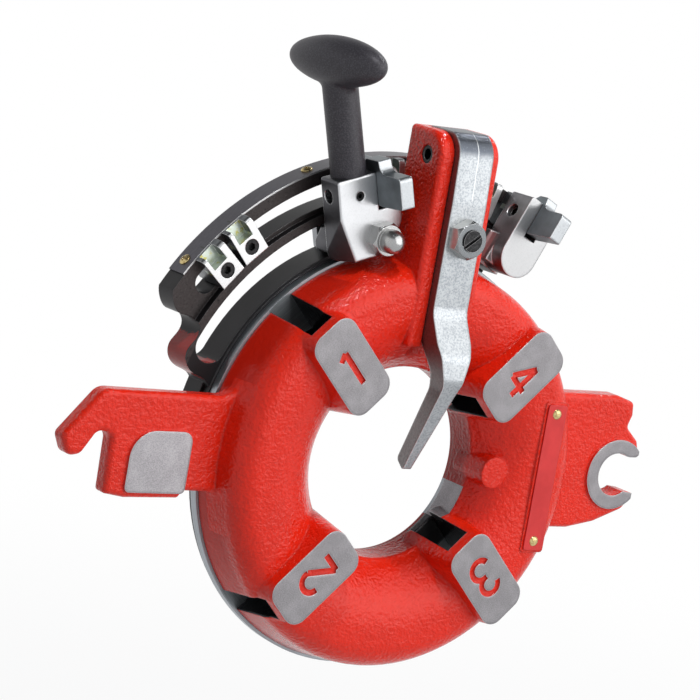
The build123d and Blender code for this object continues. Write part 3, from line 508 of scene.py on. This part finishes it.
def setBlockFinish():
    # Ground steel with painted shade on its side faces, a painted yellow-green reflection in the
    # catch's notch and on a narrow ledge at the notch's radius, and a painted glint along its
    # rounded edges
    look = setBlockLook
    f = Finish("setBlockSteel")
    radius = f.radius()
    specks, cloud = f.noise(*look["specks"]), f.noise(*look["cloud"])
    face = f.front(*look["facing"])
    front = f.mottle(specks, look["speckTone"], look["front"], look["frontSpecks"])
    side = f.mottle(cloud, look["sideTone"], look["side"], look["sideClouds"])
    # Painted yellow-green reflection in the notch and on the ledge
    notch = face * (f.y > look["notchBack"]) * (radius > look["notchRadius"])
    ledge = (1 - face) * radius.between(*look["ledgeRadii"]) * (f.y < look["ledgeBack"])
    notchYellowReflection = f.mottle(cloud, look["notchYellowTone"], look["notch"], look["notchYellowReflection"])
    colour = f.mix(notch.either(ledge), f.mix(face, side, front), notchYellowReflection)
    # Painted glint along the rounded edges
    f.set(Base_Color=f.worn(colour, *look["worn"]), Metallic=look["metallic"],
          Roughness=f.rough(specks, *look["roughness"]) + cloud * look["cloudRough"],
          Normal=f.relief(specks, *look["relief"]))
    return f.material


turnedLooks = {
    "turnedSteel": {"light": (0.42, 0.45, 0.48), "dark": (0.25, 0.27, 0.29), "overspray": 0.0},
    "flangeSteel": {"light": (0.34, 0.36, 0.38), "dark": (0.20, 0.21, 0.23), "overspray": 0.0572},
}

turning = {
    "rings": (2600.0,),
    # How much the rings change along one turn, per degree
    "drift": 0.00001,
    "cloud": (45.0, 3.0, 0.6),
    "ringTone": (0.3, 0.7, 0.6),
    "cloudTone": (0.3, 0.7, 0.4),
    "metallic": 0.92,
    "sprayDulls": 0.9,
    "roughness": (0.34, 0.12),
    "relief": (0.00002, 0.5, 0.0004),
}


def turnedFinish(name):
    # Faced on a lathe: fine rings about the pipe axis, with red overspray inside a radius
    look = turnedLooks[name]
    f = Finish(name)
    radius, angle = f.radius(), f.angle()
    lathe = f.add("ShaderNodeCombineXYZ", {}, {
        "X": radius, "Y": f.y, "Z": angle * turning["drift"]})
    rings = f.noise(*turning["rings"], vector=lathe.outputs[0])
    cloud = f.noise(*turning["cloud"])
    tone = f.ramp(rings, *turning["ringTone"]) + f.ramp(cloud, *turning["cloudTone"])
    spray = (radius < look["overspray"]) * (1 - angle.between(*machined["patchAngles"]))
    steel = f.mix(tone, look["light"], look["dark"])
    # The overspray is the red in painted shade
    f.set(Base_Color=f.mix(spray, steel, paint["redShaded"]),
          Metallic=turning["metallic"] - spray * turning["sprayDulls"],
          Roughness=f.rough(rings, *turning["roughness"]),
          Normal=f.relief(rings, *turning["relief"]))
    return f.material


ringLook = {
    "dark": (0.013, 0.012, 0.013),
    "seat": (0.018, 0.017, 0.019),
    "milled": (0.042, 0.036, 0.036),
    "rubbed": (0.060, 0.054, 0.054),
    "landRadius": 0.1385,
    "facing": (0.5, 0.9),
    "cloud": (55.0, 4.0, 0.65),
    "mill": (700.0, 3.0, 0.7, (1.0, 2.5, 1.0)),
    "fine": (1500.0, 2.0, 0.6),
    "seatTone": (0.3, 0.75),
    "rubbedTone": (0.50, 0.72),
    "milledTone": (0.28, 0.45),
    "worn": (0.0007, 0.5, (0.16, 0.16, 0.165)),
    "metallic": 0.6,
    "roughness": (0.30, 0.14),
    "faceRough": 0.10,
    "millRelief": 0.25,
    "fineRelief": 0.2,
    "relief": (0.00010, 0.5, 0.0007),
    "gloss": 0.25,
}

# Stray red over the gap's end: a lobe behind the front face, and a patch inside it
strayRed = {
    "lobeAngles": (154.4, 163.6),
    "lobeRadii": (0.1235, 0.1600),
    "lobeFront": 0.0480,
    "lobeTone": (0.50, 0.58),
    "patchAngles": (157.2, 161.5),
    "patchRadii": (0.1215, 0.1400),
    "patchBack": 0.056,
    "patchTone": (0.35, 0.5),
    # How many degrees the noises push the outline about
    "cloudRagged": 7.0,
    "fineRagged": 2.0,
    "patchRagged": 0.4,
    "peel": (560.0, 1.5, 0.45),
    "peelRelief": 2.0,
    "roughness": 0.26,
}


def ringFinish():
    # Black oiled casting, milled on its front lands, with stray red at the gap's end
    look, stray = ringLook, strayRed
    f = Finish("blackRing")
    radius, angle = f.radius(), f.angle()
    cloud, mill, fine = (f.noise(*look[k]) for k in ("cloud", "mill", "fine"))
    face = f.front(*look["facing"])
    steel = f.mottle(cloud, look["seatTone"], look["dark"], look["seat"])
    lands = f.mottle(mill, look["rubbedTone"], look["milled"], look["rubbed"])
    lands = f.mottle(mill, look["milledTone"], look["dark"], lands)
    steel = f.mix(face * (radius > look["landRadius"]), steel, lands)
    steel = f.worn(steel, *look["worn"])

    ragged = (cloud - 0.5) * stray["cloudRagged"] + (fine - 0.5) * stray["fineRagged"]
    lobe = (angle + ragged).between(*stray["lobeAngles"]) * radius.between(*stray["lobeRadii"])
    lobe = lobe * (f.y > stray["lobeFront"])
    lobe = lobe * (1 - face).either(f.ramp(cloud, *stray["lobeTone"]))
    patch = (angle + ragged * stray["patchRagged"]).between(*stray["patchAngles"])
    patch = patch * radius.between(*stray["patchRadii"]) * (f.y < stray["patchBack"])
    patch = patch * f.ramp(fine, *stray["patchTone"]) * (1 - face)
    painted = lobe.either(patch)

    peel = f.noise(*stray["peel"]) * painted
    height = mill * look["millRelief"] + peel * stray["peelRelief"] + fine * look["fineRelief"]
    rough = f.rough(mill, *look["roughness"]) + face * look["faceRough"]
    # The stray red is the red in painted shade
    f.set(Base_Color=f.mix(painted, steel, paint["redShaded"]),
          Metallic=(1 - painted) * look["metallic"],
          Roughness=f.between(painted, rough, stray["roughness"]),
          Specular_IOR_Level=look["gloss"],
          Normal=f.relief(height, *look["relief"]))
    return f.material


barLook = {
    "colour": (0.062, 0.059, 0.070),
    "lighter": 1.5,
    "frontEdge": (0.50, 0.50, 0.51),
    "tick": (0.005, 0.005, 0.005),
    "tickAngles": (140.3, 133.3, 104.9, 98.4),
    "tickHalf": 0.17,
    "tickDepths": (0.0523, 0.0562),
    "tickRelief": 2.0,
    "facing": (0.3, 0.7),
    "grain": (300.0, 3.0, 0.6, (1.0, 4.0, 1.0)),
    "grainTone": (0.3, 0.75),
    "grainRelief": 0.3,
    "metallic": 0.7,
    "roughness": (0.30, 0.12),
    "relief": (0.00006, 0.5, 0.0003),
}


def barFinish():
    # Browned strip with plain index ticks at its bright front edge
    look = barLook
    f = Finish("indexStrip")
    angle = f.angle()
    grain = f.noise(*look["grain"])
    tick = None
    for where in look["tickAngles"]:
        one = angle.between(where - look["tickHalf"], where + look["tickHalf"])
        tick = one if tick is None else tick.either(one)
    tick = tick * f.y.between(*look["tickDepths"])
    lighter = shade(look["colour"], look["lighter"])
    colour = f.mottle(grain, look["grainTone"], look["colour"], lighter)
    colour = f.mix(f.front(*look["facing"]), colour, look["frontEdge"])
    height = grain * look["grainRelief"] - tick * look["tickRelief"]
    f.set(Base_Color=f.mix(tick, colour, look["tick"]),
          Metallic=look["metallic"] * (1 - tick), Roughness=f.rough(grain, *look["roughness"]),
          Normal=f.relief(height, *look["relief"]))
    return f.material


leverLook = {
    "face": (0.40, 0.42, 0.44),
    "dark": (0.24, 0.26, 0.28),
    "side": (0.20, 0.185, 0.185),
    "sideDark": 0.7,
    "paintedSideMask": (0.55, 0.85),
    "cloud": (60.0, 4.0, 0.62, (1.0, 1.0, 0.5)),
    "specks": (900.0, 3.0, 0.72),
    "speckTone": (0.42, 0.62, 0.8),
    "cloudTone": (0.4, 0.7, 0.3),
    "sideTone": (0.35, 0.7),
    "paintedTopReflection": (0.085, 0.095, 0.115),
    "paintedTopReflectionHeights": (0.1735, 0.1800),
    "paintedTopReflectionRagged": 0.006,
    "paintedTopReflectionSpecks": (0.55, 0.7, 0.35),
    "seam": (0.85, 0.87, 0.88),
    "seamSides": (0.0010, 0.0015),
    "seamFoot": 0.152,
    "seamBack": 0.012,
    "seamRagged": 0.0016,
    "seamShare": 0.45,
    "worn": (0.0016, 0.55, (0.84, 0.85, 0.87)),
    "metallic": 0.92,
    "roughness": (0.25, 0.10),
    "speckRough": 0.08,
    "relief": (0.00006, 0.5, 0.0016),
}


def leverFinish():
    # Speckled zinc over a forging, with a painted dark reflection over the rounded top, painted
    # shade tinted by a red reflection along its sides, and a painted glint along its rounded edges
    look = leverLook
    f = Finish("platedLever")
    cloud, specks = f.noise(*look["cloud"]), f.noise(*look["specks"])
    spots = f.ramp(specks, *look["speckTone"]) + f.ramp(cloud, *look["cloudTone"])
    face = f.mix(spots, look["face"], look["dark"])
    # Painted dark reflection over the rounded top
    paintedTopReflection = f.ramp(f.z + (cloud - 0.5) * look["paintedTopReflectionRagged"], *look["paintedTopReflectionHeights"])
    paintedTopReflection = paintedTopReflection * (1 - f.ramp(specks, *look["paintedTopReflectionSpecks"]))
    face = f.mix(paintedTopReflection, face, look["paintedTopReflection"])
    wander = f.x + (cloud - 0.5) * look["seamRagged"]
    seam = wander.between(*look["seamSides"]) * (f.z > look["seamFoot"]) * (f.y < look["seamBack"])
    face = f.mix(seam * look["seamShare"], face, look["seam"])
    # Painted shade, tinted by a red reflection, on the side faces
    paintedSideMask = f.ramp(abs(f.towards((1, 0, 0))), *look["paintedSideMask"])
    side = f.mottle(specks, look["sideTone"], look["side"], shade(look["side"], look["sideDark"]))
    # Painted glint along the rounded edges
    colour = f.worn(f.mix(paintedSideMask, face, side), *look["worn"])
    f.set(Base_Color=colour, Metallic=look["metallic"],
          Roughness=f.rough(cloud, *look["roughness"]) + specks * look["speckRough"],
          Normal=f.relief(specks + cloud, *look["relief"]))
    return f.material


gripLook = {
    "dark": (0.024, 0.022, 0.028),
    "light": (0.060, 0.057, 0.068),
    "grain": (1300.0, 2.0, 0.6),
    "grainTone": (0.40, 0.72),
    "lumps": (300.0,),
    "lumpRelief": 0.4,
    "metallic": 0.25,
    "roughness": (0.42, 0.12),
    "relief": (0.00012, 0.6),
}


def gripFinish():
    # Grained stoving enamel on the handle
    look = gripLook
    f = Finish("handleEnamel")
    grain, lumps = f.noise(*look["grain"]), f.noise(*look["lumps"])
    f.set(Base_Color=f.mottle(grain, look["grainTone"], look["dark"], look["light"]),
          Metallic=look["metallic"], Roughness=f.rough(grain, *look["roughness"]),
          Normal=f.relief(grain + lumps * look["lumpRelief"], *look["relief"]))
    return f.material


# Black oxide on the screws, oiled spring steel on the roll pins with a worn lip, and yellow
# passivate on the small screws and rivets, browner in its recesses
smallLooks = {
    "blackOxide": {"tones": ((0.010, 0.010, 0.011), (0.032, 0.031, 0.033)),
                   "grain": (900.0, 3.0, 0.6), "metallic": 0.7, "roughness": (0.30, 0.16),
                   "relief": (0.00002, 0.4, 0.0003)},
    "rollPinSteel": {"tones": ((0.014, 0.014, 0.015), (0.045, 0.044, 0.046)),
                     "worn": (0.0006, 0.8, (0.22, 0.22, 0.22)),
                     "grain": (900.0, 3.0, 0.6), "metallic": 0.8, "roughness": (0.26, 0.16),
                     "relief": (0.00002, 0.4, 0.0004)},
    "yellowPassivate": {"tones": ((0.62, 0.50, 0.24), (0.30, 0.20, 0.07)),
                        "worn": (0.0005, 0.6, (0.85, 0.78, 0.55)),
                        "grain": (520.0, 3.0, 0.6), "metallic": 0.95, "roughness": (0.20, 0.12),
                        "relief": (0.00002, 0.4, 0.0003)},
}

smallTone = (0.35, 0.75)


def smallFinish(name):
    # Two tones of one noise, and worn edges if the finish has them
    look = smallLooks[name]
    f = Finish(name)
    grain = f.noise(*look["grain"])
    colour = f.mottle(grain, smallTone, *look["tones"])
    if "worn" in look:
        colour = f.worn(colour, *look["worn"])
    f.set(Base_Color=colour, Metallic=look["metallic"],
          Roughness=f.rough(grain, *look["roughness"]), Normal=f.relief(grain, *look["relief"]))
    return f.material


latchLook = {
    "axisHeight": 0.1319,
    "threadPitch": 0.00125,
    "coreRadius": 0.0047,
    "tones": ((0.010, 0.010, 0.011), (0.045, 0.045, 0.047)),
    "worn": (0.0005, 0.9, (0.42, 0.42, 0.43)),
    "grain": (800.0, 3.0, 0.6),
    "grainRelief": 0.1,
    "metallic": 0.8,
    "roughness": (0.22, 0.18),
    "relief": (0.00022, 0.6),
}


def latchPinFinish():
    # Black pin with a fine thread on the stretch that carries the nut
    look = latchLook
    f = Finish("threadedPin")
    rise = f.z - look["axisHeight"]
    wide = (f.x * f.x + rise * rise).root() > look["coreRadius"]
    turn = rise.arc(f.x)
    thread = (f.y * (2 * math.pi / look["threadPitch"]) + turn).sine() * wide
    grain = f.noise(*look["grain"])
    colour = f.worn(f.mottle(grain, smallTone, *look["tones"]), *look["worn"])
    f.set(Base_Color=colour, Metallic=look["metallic"],
          Roughness=f.rough(grain, *look["roughness"]),
          Normal=f.relief(thread + grain * look["grainRelief"], *look["relief"]))
    return f.material


def dress(material, *names):
    for name in names:
        node = nodes[name]
        node.data.materials.clear()
        node.data.materials.append(material)


def dressAll(black):
    dress(castingFinish(), "head_casting")
    dress(plateFinish(), "name_plate")
    dress(turnedFinish("turnedSteel"), "cam_plate")
    dress(black, "cam_screws", "set_block_screws", "right_clamp_screw", "grub_screw")
    dress(smallFinish("rollPinSteel"), "trigger_pivot_pin", "left_catch_pin", "right_catch_pin")
    dress(ringFinish(), "size_ring")
    dress(barFinish(), "size_bar")
    dress(setBlockFinish(), *[f"set_block_{k}" for k in range(1, 7)])
    dress(platedFinish("zincBlock"), "lever_block")
    dress(platedFinish("zincRightBlock"), "right_block")
    dress(platedFinish("zincClamp"), "left_clamp_plate", "right_clamp_plate", "set_block_nuts")
    dress(platedFinish("zincCatch"), "left_catch", "right_catch")
    dress(platedFinish("zincBright"), "acorn_nut", "clamp_stud")
    dress(platedFinish("zincNut"), "latch_nut")
    dress(latchPinFinish(), "latch_pin")
    dress(gripFinish(), "handle")
    dress(leverFinish(), "trigger_lever")


# Small repeated pieces

class ShapeTree(Bench):
    # A geometry tree with one named input for each size, and a material

    def __init__(self, name, numbers):
        tree = bpy.data.node_groups.new(name, "GeometryNodeTree")
        ports = tree.interface
        ports.new_socket("Geometry", in_out="INPUT", socket_type="NodeSocketGeometry")
        for key in numbers:
            ports.new_socket(key, in_out="INPUT", socket_type="NodeSocketFloat")
        ports.new_socket("Finish", in_out="INPUT", socket_type="NodeSocketMaterial")
        ports.new_socket("Geometry", in_out="OUTPUT", socket_type="NodeSocketGeometry")
        super().__init__(tree)
        self.given = self.add("NodeGroupInput").outputs
        self.sizes = {key: self.wire(self.given[key]) for key in numbers}

    def vector(self, x, y, z):
        return self.add("ShaderNodeCombineXYZ", {}, {"X": x, "Y": y, "Z": z}).outputs[0]

    def raised(self, solid, height):
        # The solid's middle moved up along its own Z
        moved = self.add("GeometryNodeTransform", {}, {
            "Geometry": solid.outputs["Mesh"], "Translation": self.vector(0.0, 0.0, height)})
        return moved.outputs[0]

    def drum(self, sides, radius, depth, height):
        return self.raised(self.add("GeometryNodeMeshCylinder", {}, {
            "Vertices": sides, "Radius": radius, "Depth": depth}), height)

    def ball(self, segments, rings, radius, height):
        return self.raised(self.add("GeometryNodeMeshUVSphere", {}, {
            "Segments": segments, "Rings": rings, "Radius": radius}), height)

    def box(self, x, y, z, height):
        return self.raised(self.add("GeometryNodeMeshCube", {}, {
            "Size": self.vector(x, y, z)}), height)

    def common(self, *shapes):
        node = self.add("GeometryNodeMeshBoolean", {"operation": "INTERSECT", "solver": "EXACT"})
        for shape in shapes:
            self.feed(node.inputs["Mesh 2"], shape)
        return node.outputs[0]

    def cut(self, shape, tool):
        return self.add("GeometryNodeMeshBoolean", {"operation": "DIFFERENCE", "solver": "EXACT"}, {
            "Mesh 1": shape, "Mesh 2": tool}).outputs[0]

    def attribute(self, name, kind):
        node = self.add("GeometryNodeInputNamedAttribute", {"data_type": kind}, {"Name": name})
        return node.outputs["Attribute"]

    def finish(self, shape):
        # One copy on each point, its own Z turned to the point's aim and then spun, made into
        # real geometry in one material, which is what the export can carry
        aimed = self.add("FunctionNodeAlignRotationToVector", {"axis": "Z"}, {
            "Vector": self.attribute("aim", "FLOAT_VECTOR")})
        twist = self.add("FunctionNodeAxisAngleToRotation", {}, {
            "Axis": (0.0, 0.0, 1.0), "Angle": self.attribute("spin", "FLOAT")})
        turn = self.add("FunctionNodeRotateRotation", {"rotation_space": "LOCAL"}, {
            "Rotation": aimed.outputs[0], "Rotate By": twist.outputs[0]})
        points = self.add("GeometryNodeMeshToPoints", {"mode": "VERTICES"}, {
            "Mesh": self.given["Geometry"]})
        copies = self.add("GeometryNodeInstanceOnPoints", {}, {
            "Points": points.outputs[0], "Instance": shape, "Rotation": turn.outputs[0]})
        real = self.add("GeometryNodeRealizeInstances", {}, {"Geometry": copies.outputs[0]})
        flat = self.add("GeometryNodeSetShadeSmooth", {"domain": "FACE"}, {
            "Geometry": real.outputs[0], "Shade Smooth": False})
        worn = self.add("GeometryNodeSetMaterial", {}, {
            "Geometry": flat.outputs[0], "Material": self.given["Finish"]})
        self.add("NodeGroupOutput", {}, {"Geometry": worn.outputs[0]})
        return self.tree


def grow(name, tree, numbers, finish, spots):
    # spots: place, aim and spin of each copy
    mesh = bpy.data.meshes.new(name + "Points")
    mesh.from_pydata([place for place, aim, spin in spots], [], [])
    mesh.attributes.new("aim", "FLOAT_VECTOR", "POINT")
    mesh.attributes.new("spin", "FLOAT", "POINT")
    for k, (place, aim, spin) in enumerate(spots):
        mesh.attributes["aim"].data[k].vector = aim
        mesh.attributes["spin"].data[k].value = spin
    piece = addObject(name, mesh)
    modifier = piece.modifiers.new("grow", "NODES")
    modifier.node_group = tree
    given = dict(numbers, Finish=finish)
    for item in tree.interface.items_tree:
        if item.in_out == "INPUT" and item.name in given:
            modifier[item.identifier] = given[item.name]
    grown = piece.evaluated_get(bpy.context.evaluated_depsgraph_get())
    solid = bpy.data.meshes.new_from_object(grown)
    piece.modifiers.clear()
    piece.data = solid
    solid.materials.clear()
    solid.materials.append(finish)
    for face in solid.polygons:
        face.material_index = 0
    print(name, "has", len(solid.polygons), "faces")
    return piece


def onCircle(radius, angle, y):
    # Place at a radius from the pipe axis, with the angle in radians from +X towards +Z
    return (radius * math.cos(angle), y, radius * math.sin(angle))


crossScrews = {
    "radius": 0.1673,
    "depth": 0.0593,
    "angles": (143.8, 113.9, 84.0),
    "spins": (0.5, 1.3, 0.2),
    "sides": 32,
    "domeRings": 24,
    "sizes": {"Head Radius": 0.00325, "Head Height": 0.0018, "Dome Radius": 0.0048,
              "Cross Length": 0.0038, "Cross Width": 0.0008, "Cross Depth": 0.0011},
}


def crossScrewTree():
    # Pan head: a short cylinder kept inside a ball, with two crossed slots cut in its top
    s = ShapeTree("crossScrew", crossScrews["sizes"])
    height, dome, depth = (s.sizes[k] for k in ("Head Height", "Dome Radius", "Cross Depth"))
    length, width = s.sizes["Cross Length"], s.sizes["Cross Width"]
    sides, rings = crossScrews["sides"], crossScrews["domeRings"]
    shape = s.common(s.drum(sides, s.sizes["Head Radius"], height, height * 0.5),
                     s.ball(sides, rings, dome, height - dome))
    for x, y in ((length, width), (width, length)):
        shape = s.cut(shape, s.box(x, y, depth * 2, height))
    return s.finish(shape)


def addCrossScrews(finish):
    spots = []
    for degrees, spin in zip(crossScrews["angles"], crossScrews["spins"]):
        aim = Vector(onCircle(1, math.radians(degrees), 0))
        place = aim * crossScrews["radius"] + Vector((0, crossScrews["depth"], 0))
        spots.append((place, aim, spin))
    piece = grow("barScrewHeads", crossScrewTree(), crossScrews["sizes"], finish, spots)
    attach(piece, "ring")
    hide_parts("size_bar_screws")


domeRivets = {
    "front": 0.0055,
    "spacing": 0.0736,
    "sunk": 0.0002,
    "sides": 40,
    "domeRings": 28,
    "sizes": {"Head Radius": 0.0030, "Head Height": 0.0017, "Crown Radius": 0.0035},
}


def domeRivetTree():
    # Domed drive rivet: a ball kept inside a thin drum
    s = ShapeTree("domeRivet", domeRivets["sizes"])
    height, crown = s.sizes["Head Height"], s.sizes["Crown Radius"]
    middle = height * 0.5 - domeRivets["sunk"]
    sides, rings = domeRivets["sides"], domeRivets["domeRings"]
    return s.finish(s.common(s.drum(sides, s.sizes["Head Radius"], height, middle),
                             s.ball(sides, rings, crown, height - crown)))


def addDomeRivets(finish):
    half = domeRivets["spacing"] / 2
    places = [(namePlate["x"], domeRivets["front"], z) for z in (-half, half)]
    spots = [(place, (0, -1, 0), 0.0) for place in places]
    piece = grow("plateRivetHeads", domeRivetTree(), domeRivets["sizes"], finish, spots)
    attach(piece, "head")
    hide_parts("plate_rivets")


flangeCup = {
    # radius and distance back along the pipe axis, round the section
    "section": ((0.0550, 0.0467), (0.0792, 0.0467), (0.0817, 0.0492), (0.0817, 0.0612),
                (0.0809, 0.0620), (0.0732, 0.0620), (0.0726, 0.0614), (0.0726, 0.0502),
                (0.0558, 0.0502), (0.0550, 0.0496)),
    "segments": 144,
}


def addFlangeCup():
    # Dished flange, thin round the bore and thick at its rim
    shape = bmesh.new()
    count = flangeCup["segments"]
    turns = [2 * math.pi * k / count for k in range(count)]
    rings = [[shape.verts.new(onCircle(radius, angle, y)) for angle in turns]
             for radius, y in flangeCup["section"]]
    for ring, after in zip(rings, rings[1:] + rings[:1]):
        for k in range(count):
            j = (k + 1) % count
            shape.faces.new((ring[k], ring[j], after[j], after[k]))
    bmesh.ops.recalc_face_normals(shape, faces=shape.faces)
    mesh = bpy.data.meshes.new("flangeCup")
    shape.to_mesh(mesh)
    shape.free()
    mesh.materials.append(turnedFinish("flangeSteel"))
    piece = addObject("flangeCup", mesh)
    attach(piece, "head")
    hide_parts("back_flange")


capScrews = {
    "circle": 0.0670,
    "seat": 0.0502,
    "angles": (30, 90, 150, 210, 270, 330),
    "spinStep": 0.37,
    "sides": 40,
    "sizes": {"Head Radius": 0.0050, "Head Height": 0.0060,
              "Socket Radius": 0.0029, "Socket Depth": 0.0030},
}


def capScrewTree():
    # Plain cylinder head with a hexagon socket
    s = ShapeTree("capScrew", capScrews["sizes"])
    height = s.sizes["Head Height"]
    head = s.drum(capScrews["sides"], s.sizes["Head Radius"], height, height * 0.5)
    hexagon = s.drum(6, s.sizes["Socket Radius"], s.sizes["Socket Depth"] * 2, height)
    return s.finish(s.cut(head, hexagon))


def addCapScrews(finish):
    spots = []
    for number, degrees in enumerate(capScrews["angles"]):
        place = onCircle(capScrews["circle"], math.radians(degrees), capScrews["seat"])
        spots.append((place, (0, 1, 0), capScrews["spinStep"] * number))
    piece = grow("flangeScrewHeads", capScrewTree(), capScrews["sizes"], finish, spots)
    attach(piece, "head")
    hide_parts("flange_screws")


rimTeeth = {
    "count": 170,
    "start": 95.5,
    "step": 0.42,
    "radius": 0.11975,
    "front": 0.0520,
    # Corner radii of a tooth before it is scaled
    "foot": 0.7072,
    "crest": 0.35,
    "sizes": {"Tooth Length": 0.0019, "Tooth Width": 0.00045, "Tooth Depth": 0.0006},
}


def rimToothTree():
    # Low serration: each tooth is a four-sided cone of unit size, turned square and scaled
    s = ShapeTree("rimTooth", rimTeeth["sizes"])
    cone = s.add("GeometryNodeMeshCone", {"fill_type": "NGON"}, {
        "Vertices": 4, "Radius Top": rimTeeth["crest"], "Radius Bottom": rimTeeth["foot"],
        "Depth": 1.0})
    square = s.add("FunctionNodeEulerToRotation", {}, {"Euler": (0.0, 0.0, math.pi / 4)})
    wedge = s.add("GeometryNodeTransform", {}, {
        "Geometry": cone.outputs["Mesh"], "Translation": (0.0, 0.0, -0.5),
        "Rotation": square.outputs[0]})
    size = s.vector(*(s.sizes[k] for k in ("Tooth Width", "Tooth Length", "Tooth Depth")))
    sized = s.add("GeometryNodeTransform", {}, {"Geometry": wedge.outputs[0], "Scale": size})
    return s.finish(sized.outputs[0])


def addRimTeeth(finish):
    spots = []
    for k in range(rimTeeth["count"]):
        angle = math.radians(rimTeeth["start"] + k * rimTeeth["step"])
        place = onCircle(rimTeeth["radius"], angle, rimTeeth["front"])
        spots.append((place, (0, -1, 0), angle + math.pi / 2))
    piece = grow("rimSerration", rimToothTree(), rimTeeth["sizes"], finish, spots)
    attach(piece, "ring")


# Backdrop

backdrop = {
    "skyColour": (0.92, 0.94, 1.0),
    "skyStrength": 0.24,
    # What a mirror sees overhead, and the heights between which it darkens to that
    "ceilingStrength": 0.10,
    "ceilingHeights": (0.45, 0.75),
    "floorHeight": -0.34,
    "floorRadius": 3.0,
    "floorSides": 96,
    "floorColour": (0.70, 0.70, 0.72),
    "floorRoughness": 0.9,
    # The share of a shadow that shows near the part, and the distances over which it fades
    "shadowShare": 0.12,
    "shadowFade": (0.35, 1.5),
}


def addSky():
    world = bpy.data.worlds.new("studio")
    bpy.context.scene.world = world
    world.use_nodes = True
    world.node_tree.nodes.clear()
    w = Bench(world.node_tree)
    sky = w.add("ShaderNodeBackground", {}, {
        "Color": backdrop["skyColour"], "Strength": backdrop["skyStrength"]})
    direction = w.add("ShaderNodeTexCoord").outputs["Generated"]
    height = w.wire(w.add("ShaderNodeSeparateXYZ", {}, {"Vector": direction}).outputs["Z"])
    overhead = w.ramp(height, *backdrop["ceilingHeights"])
    ceiling = 1 - overhead * (1 - backdrop["ceilingStrength"])
    white = w.add("ShaderNodeBackground", {}, {"Color": (1, 1, 1), "Strength": ceiling})
    mixer = w.add("ShaderNodeMixShader", {}, {
        0: w.backgroundRay(), 1: sky.outputs[0], 2: white.outputs[0]})
    w.add("ShaderNodeOutputWorld", {}, {"Surface": mixer.outputs[0]})


def addFloor():
    mesh = bpy.data.meshes.new("floor")
    shape = bmesh.new()
    bmesh.ops.create_circle(shape, cap_ends=True, radius=backdrop["floorRadius"],
                            segments=backdrop["floorSides"])
    bmesh.ops.translate(shape, verts=shape.verts, vec=(0, 0, backdrop["floorHeight"]))
    shape.to_mesh(mesh)
    shape.free()
    floor = addObject("floor", mesh)
    f = Finish("paleFloor")
    f.set(Base_Color=backdrop["floorColour"], Roughness=backdrop["floorRoughness"])
    # The floor keeps a shadow near the part and fades to the backdrop's white
    near = 1 - f.ramp((f.x * f.x + f.y * f.y).root(), *backdrop["shadowFade"])
    share = f.backgroundRay() * (1 - near * backdrop["shadowShare"])
    glow = f.add("ShaderNodeEmission", {}, {"Color": (1, 1, 1), "Strength": 1.0})
    blend = f.add("ShaderNodeMixShader", {}, {
        0: share, 1: f.shader.outputs[0], 2: glow.outputs[0]})
    f.feed(f.tree.nodes["Material Output"].inputs["Surface"], blend.outputs[0])
    mesh.materials.append(f.material)


addCamera()
addLamps()
addSky()
addFloor()
bpy.context.scene.view_settings.view_transform = "Standard"
print("camera and studio ready")

black = smallFinish("blackOxide")
dressAll(black)
print("frame dressed")

brass = smallFinish("yellowPassivate")
addCrossScrews(brass)
addDomeRivets(brass)
addFlangeCup()
addCapScrews(black)
addRimTeeth(black)
print("small pieces ready")
